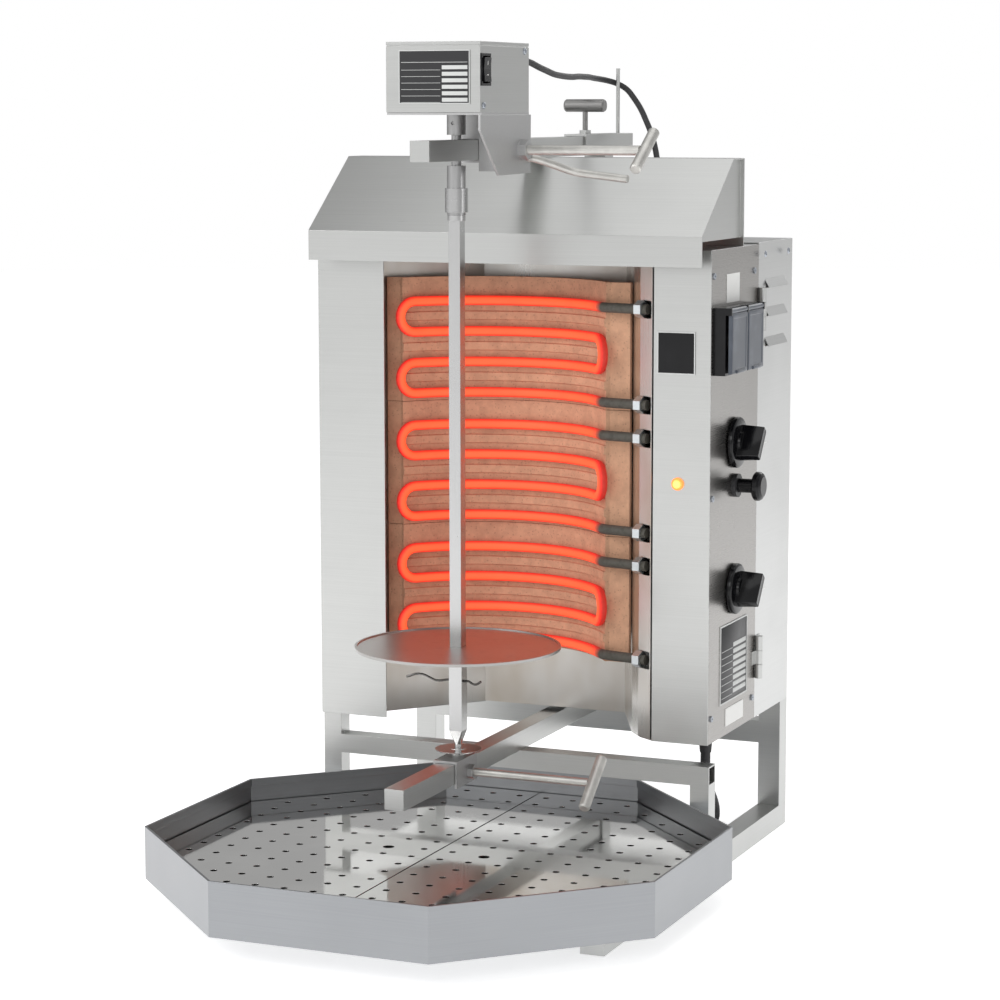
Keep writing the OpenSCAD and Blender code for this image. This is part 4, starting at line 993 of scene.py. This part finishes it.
def pan_head(radius, height):
    """A domed screw head with a cross recess, along +Z."""
    head = turned([(radius * k, height * h) for k, h in (
        (0.97, 0), (1.0, 0.12), (0.97, 0.4), (0.85, 0.7), (0.62, 0.9), (0.3, 1.0))], 28)
    for turn in (0, 90):
        slot = block((-radius * 0.55, -radius * 0.13, height * 0.45),
                     (radius * 0.55, radius * 0.13, height * 1.4))
        slot.rotation_euler[2] = math.radians(turn + 20)
        only(slot)
        bpy.ops.object.transform_apply(location=False, rotation=True, scale=False)
        modify(head, "BOOLEAN", operation="DIFFERENCE", object=slot, solver="EXACT")
        bpy.data.objects.remove(slot)
    return head


class GRILL_OT_screws(bpy.types.Operator):
    """Pan head screws of the rear box and the motor box"""

    bl_idname = "grill.screws"
    bl_label = "Box screws"

    def execute(self, context):
        zinc = zinc_plate("Screw zinc")
        pattern = pan_head(SCREW_R, SCREW_H)
        for name, body, node, places in SCREWS:
            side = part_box(node)[1].x / MM
            for i, (d, z) in enumerate(places, 1):
                deselect()
                head = bpy.data.objects.new(name, pattern.data.copy())
                bpy.context.collection.objects.link(head)
                onto(head, mm_point(side, d, z), (1, 0, 0))
                keep(head, "%s_%d" % (name, i), body, zinc)
        bpy.data.objects.remove(pattern)
        return {"FINISHED"}


# ---- Finishes of the loaded nodes -----------------------------------------------

LONG_GRAIN = (500, 3, 500)
CROSS_GRAIN = (3, 500, 500)
UPRIGHT_GRAIN = (900, 900, 3)


def slot_finishes():
    """One material for each material slot of the part."""
    c = colours()
    steel, door = tuple(c.steel), tuple(c.door)
    plastic = tuple(c.plastic)
    return {
        "satin_steel": satin_steel("Satin stainless", steel, FLAT_GRAIN, 0.30),
        "door_steel": satin_steel("Door stainless", door, FLAT_GRAIN, 0.27, 0.2),
        "bracket_steel": satin_steel("Bracket plate", (0.50, 0.50, 0.50), (300, 300, 300), 0.42),
        "reflector_steel": heat_dulled("Heat dulled sheet"),
        "polished_steel": polished("Polished steel", (0.80, 0.80, 0.79)),
        "cast_steel": cast_metal("Pale cast metal"),
        "zinc": zinc_plate("Zinc plate"),
        "tray_steel": tray_steel("Tray stainless", (0.33, 0.34, 0.355)),
        "insert_mirror": polished("Mirror inserts", (0.84, 0.835, 0.82), 0.04, 0.06),
        "ceramic_board": fibre_board("Fibre board"),
        "heating_tube": rubber_sheath("Cold sheath", (0.09, 0.085, 0.07)),
        "black_plastic": moulded("Black plastic", plastic, 0.20, 0.0010, 0.1),
        "lid_plastic": moulded("Grey plastic", tuple(c.lid), 0.30),
        "switch_plastic": moulded("Switch plastic", (0.03, 0.03, 0.032), 0.45),
        "terminal_plastic": moulded("Terminal plastic", (0.62, 0.58, 0.45), 0.5),
        "lamp": amber_lens("Amber lens"),
        "plate_print": printed("Blank plate", (0.84, 0.84, 0.82)),
        "label_dark": printed("Dark plate", (0.018, 0.018, 0.02), 0.3),
        "gear_metal": cast_metal("Die cast metal", (0.33, 0.34, 0.35)),
        "cable_rubber": rubber_sheath("Rubber"),
    }


def own_finishes():
    """Materials of the nodes that differ from their slot."""
    steel = tuple(colours().steel)
    along = satin_steel("Drawn tube", steel, LONG_GRAIN, 0.32)
    across = satin_steel("Cross tube", steel, CROSS_GRAIN, 0.32)
    return {
        "upper_arm": along, "lower_arm": along, "bottom_rails": along,
        "stand_frame": across,
        "meat_disc": polished("Worn disc", (0.46, 0.45, 0.435), 0.30, 0.12),
        "disc_clip": polished("Clip wire", (0.16, 0.155, 0.15), 0.22, 0.12),
        "spit": satin_steel("Spit steel", (0.55, 0.55, 0.55), UPRIGHT_GRAIN, 0.24),
        "element_nuts": polished("Bright nuts", (0.74, 0.78, 0.80), 0.40, 0.06),
        "arm_screw": cast_metal("Dark cast metal", (0.30, 0.295, 0.29)),
        "rear_box": satin_steel("Box steel", (0.59, 0.595, 0.59), FLAT_GRAIN, 0.30),
        "drive_shaft": polished("Turned steel", (0.44, 0.44, 0.44), 0.27, 0.04),
        "coupling_collar": polished("Collar steel", (0.50, 0.50, 0.50), 0.25, 0.04),
    }


class GRILL_OT_finishes(bpy.types.Operator):
    """Gives every loaded node its own finish, or else the finish of its material slot"""

    bl_idname = "grill.finishes"
    bl_label = "Finishes"

    def execute(self, context):
        made, own = slot_finishes(), own_finishes()
        slots = {p["node"]: p["material_slot"] for p in frame["record"]["subparts"]}
        for node, obj in frame["nodes"].items():
            obj.data.materials.clear()
            obj.data.materials.append(own.get(node) or made[slots[node]])
        return {"FINISHED"}


# ---- Stage ----------------------------------------------------------------------

# The camera, solved on the photograph's straight edges: its place and its own two axes
CAMERA_AT = (1.4353, -3.3245, 0.9714)
CAMERA_RIGHT = (0.92016, 0.39154, -0.00100)
CAMERA_UP = (-0.05157, 0.12371, 0.99098)
CAMERA_LENS = 104.88
# Grey levels of the surround: the direction they run along, and (place, level) stops
BRIGHT_AXIS = (-0.40, -0.91, 0.1)
SURROUND = ((0.03, 0.55), (0.30, 0.32), (0.55, 0.27), (0.95, 0.85))
LIGHTS = (
    # name, place, aimed at, width, height, power
    ("Key softbox", (-2.3, -2.4, 2.5), (0, 0, 0.55), 1.8, 1.8, 34),
    ("Front softbox", (0.9, -3.6, 2.3), (0, 0, 0.5), 1.6, 1.2, 14),
    ("Top softbox", (0.2, 0.2, 3.0), (0, 0, 0.5), 2.4, 2.4, 18),
    ("Right strip", (3.0, -0.2, 1.4), (0.2, 0.1, 0.6), 0.7, 1.8, 6),
    ("Rear softbox", (0.4, 3.2, 2.2), (0, 0, 0.6), 1.8, 1.4, 14),
)


class GRILL_OT_camera(bpy.types.Operator):
    """The camera, where the photograph was taken from"""

    bl_idname = "grill.camera"
    bl_label = "Camera"

    def execute(self, context):
        data = bpy.data.cameras.new("Camera")
        data.lens = CAMERA_LENS
        data.sensor_width = 36.0
        data.sensor_fit = "HORIZONTAL"
        data.clip_end = 100.0
        camera = bpy.data.objects.new("Camera", data)
        right, up = Vector(CAMERA_RIGHT), Vector(CAMERA_UP)
        turn = Matrix((right, up, right.cross(up))).transposed().to_4x4()
        camera.matrix_world = Matrix.Translation(CAMERA_AT) @ turn
        bpy.context.collection.objects.link(camera)
        bpy.context.scene.camera = camera
        return {"FINISHED"}


def studio_floor():
    """A wide pale floor that glows a little, so that it runs into the white background."""
    deselect()
    bpy.ops.mesh.primitive_circle_add(vertices=96, radius=14, fill_type="NGON",
                                      location=(0, 0, 0))
    floor = bpy.context.object
    floor.name = floor.data.name = "Studio floor"
    pale = Finish("Studio floor")
    mist = pale.noise(0.6, detail=2.0)
    tone = pale.mix(mist, (0.90, 0.90, 0.90), (0.93, 0.93, 0.93))
    pale.shade(Base_Color=tone, Roughness=0.8, Emission_Color=tone,
               Emission_Strength=FLOOR_GLOW)
    floor.data.materials.append(pale.material)


def soft_boxes():
    """The area lights."""
    for name, place, aim, width, height, power in LIGHTS:
        data = bpy.data.lights.new(name, "AREA")
        data.shape = "RECTANGLE"
        data.size, data.size_y, data.energy = width, height, power
        light = bpy.data.objects.new(name, data)
        light.location = place
        toward = Vector(aim) - Vector(place)
        light.rotation_euler = toward.to_track_quat("-Z", "Y").to_euler()
        bpy.context.collection.objects.link(light)


def surround():
    """A studio of grey levels along one axis, white where the camera sees it."""
    world = bpy.data.worlds.new("Surround")
    bpy.context.scene.world = world
    world.use_nodes = True
    tree = world.node_tree
    back = tree.nodes["Background"]
    back.inputs["Strength"].default_value = 1.0
    at = tree.nodes.new("ShaderNodeTexCoord")
    along = tree.nodes.new("ShaderNodeVectorMath")
    along.operation = "DOT_PRODUCT"
    tree.links.new(at.outputs["Generated"], along.inputs[0])
    along.inputs[1].default_value = BRIGHT_AXIS
    spread = tree.nodes.new("ShaderNodeMapRange")
    spread.inputs["From Min"].default_value = -1.0
    tree.links.new(along.outputs["Value"], spread.inputs["Value"])
    ramp = tree.nodes.new("ShaderNodeValToRGB")
    for spot in SURROUND[1:-1]:
        ramp.color_ramp.elements.new(spot[0])
    for stop, (spot, level) in zip(ramp.color_ramp.elements, SURROUND):
        stop.position = spot
        stop.color = (level, level, level, 1)
    tree.links.new(spread.outputs[0], ramp.inputs[0])
    seen = tree.nodes.new("ShaderNodeLightPath")
    mix = tree.nodes.new("ShaderNodeMix")
    mix.data_type = "RGBA"
    tree.links.new(seen.outputs["Is Camera Ray"], mix.inputs[0])
    tree.links.new(ramp.outputs[0], mix.inputs[6])
    mix.inputs[7].default_value = (1, 1, 1, 1)
    tree.links.new(mix.outputs[2], back.inputs["Color"])


class GRILL_OT_stage(bpy.types.Operator):
    """Pale floor, soft boxes and a grey surround"""

    bl_idname = "grill.stage"
    bl_label = "Floor and lights"

    def execute(self, context):
        studio_floor()
        soft_boxes()
        surround()
        bpy.context.scene.view_settings.view_transform = "Standard"
        return {"FINISHED"}


class GRILL_PT_panel(bpy.types.Panel):
    """Sizes, colours and pieces of the grill"""

    bl_idname = "GRILL_PT_panel"
    bl_label = "Electric skewer grill"
    bl_space_type = "VIEW_3D"
    bl_region_type = "UI"
    bl_category = "Skewer grill"

    def draw(self, context):
        layout = self.layout
        for group in (context.scene.grill_sizes, context.scene.grill_colours):
            for key in group.__annotations__:
                layout.prop(group, key)
        for operator in OPERATORS:
            layout.operator(operator.bl_idname)


OPERATORS = (
    GRILL_OT_camera, GRILL_OT_motor_cable, GRILL_OT_mains_cable, GRILL_OT_heating_tubes,
    GRILL_OT_heat_knobs, GRILL_OT_socket_lids, GRILL_OT_switch_marks,
    GRILL_OT_blank_plates, GRILL_OT_screws, GRILL_OT_finishes, GRILL_OT_stage,
)
CLASSES = (GrillSizes, GrillColours, *OPERATORS, GRILL_PT_panel)


def register():
    for made in CLASSES:
        bpy.utils.register_class(made)
    bpy.types.Scene.grill_sizes = bpy.props.PointerProperty(type=GrillSizes)
    bpy.types.Scene.grill_colours = bpy.props.PointerProperty(type=GrillColours)


def unregister():
    del bpy.types.Scene.grill_sizes
    del bpy.types.Scene.grill_colours
    for made in reversed(CLASSES):
        bpy.utils.unregister_class(made)


def main():
    """Makes everything in order."""
    register()
    for operator in OPERATORS:
        group, name = operator.bl_idname.split(".")
        getattr(getattr(bpy.ops, group), name)()


if __name__ == "__main__":
    main()
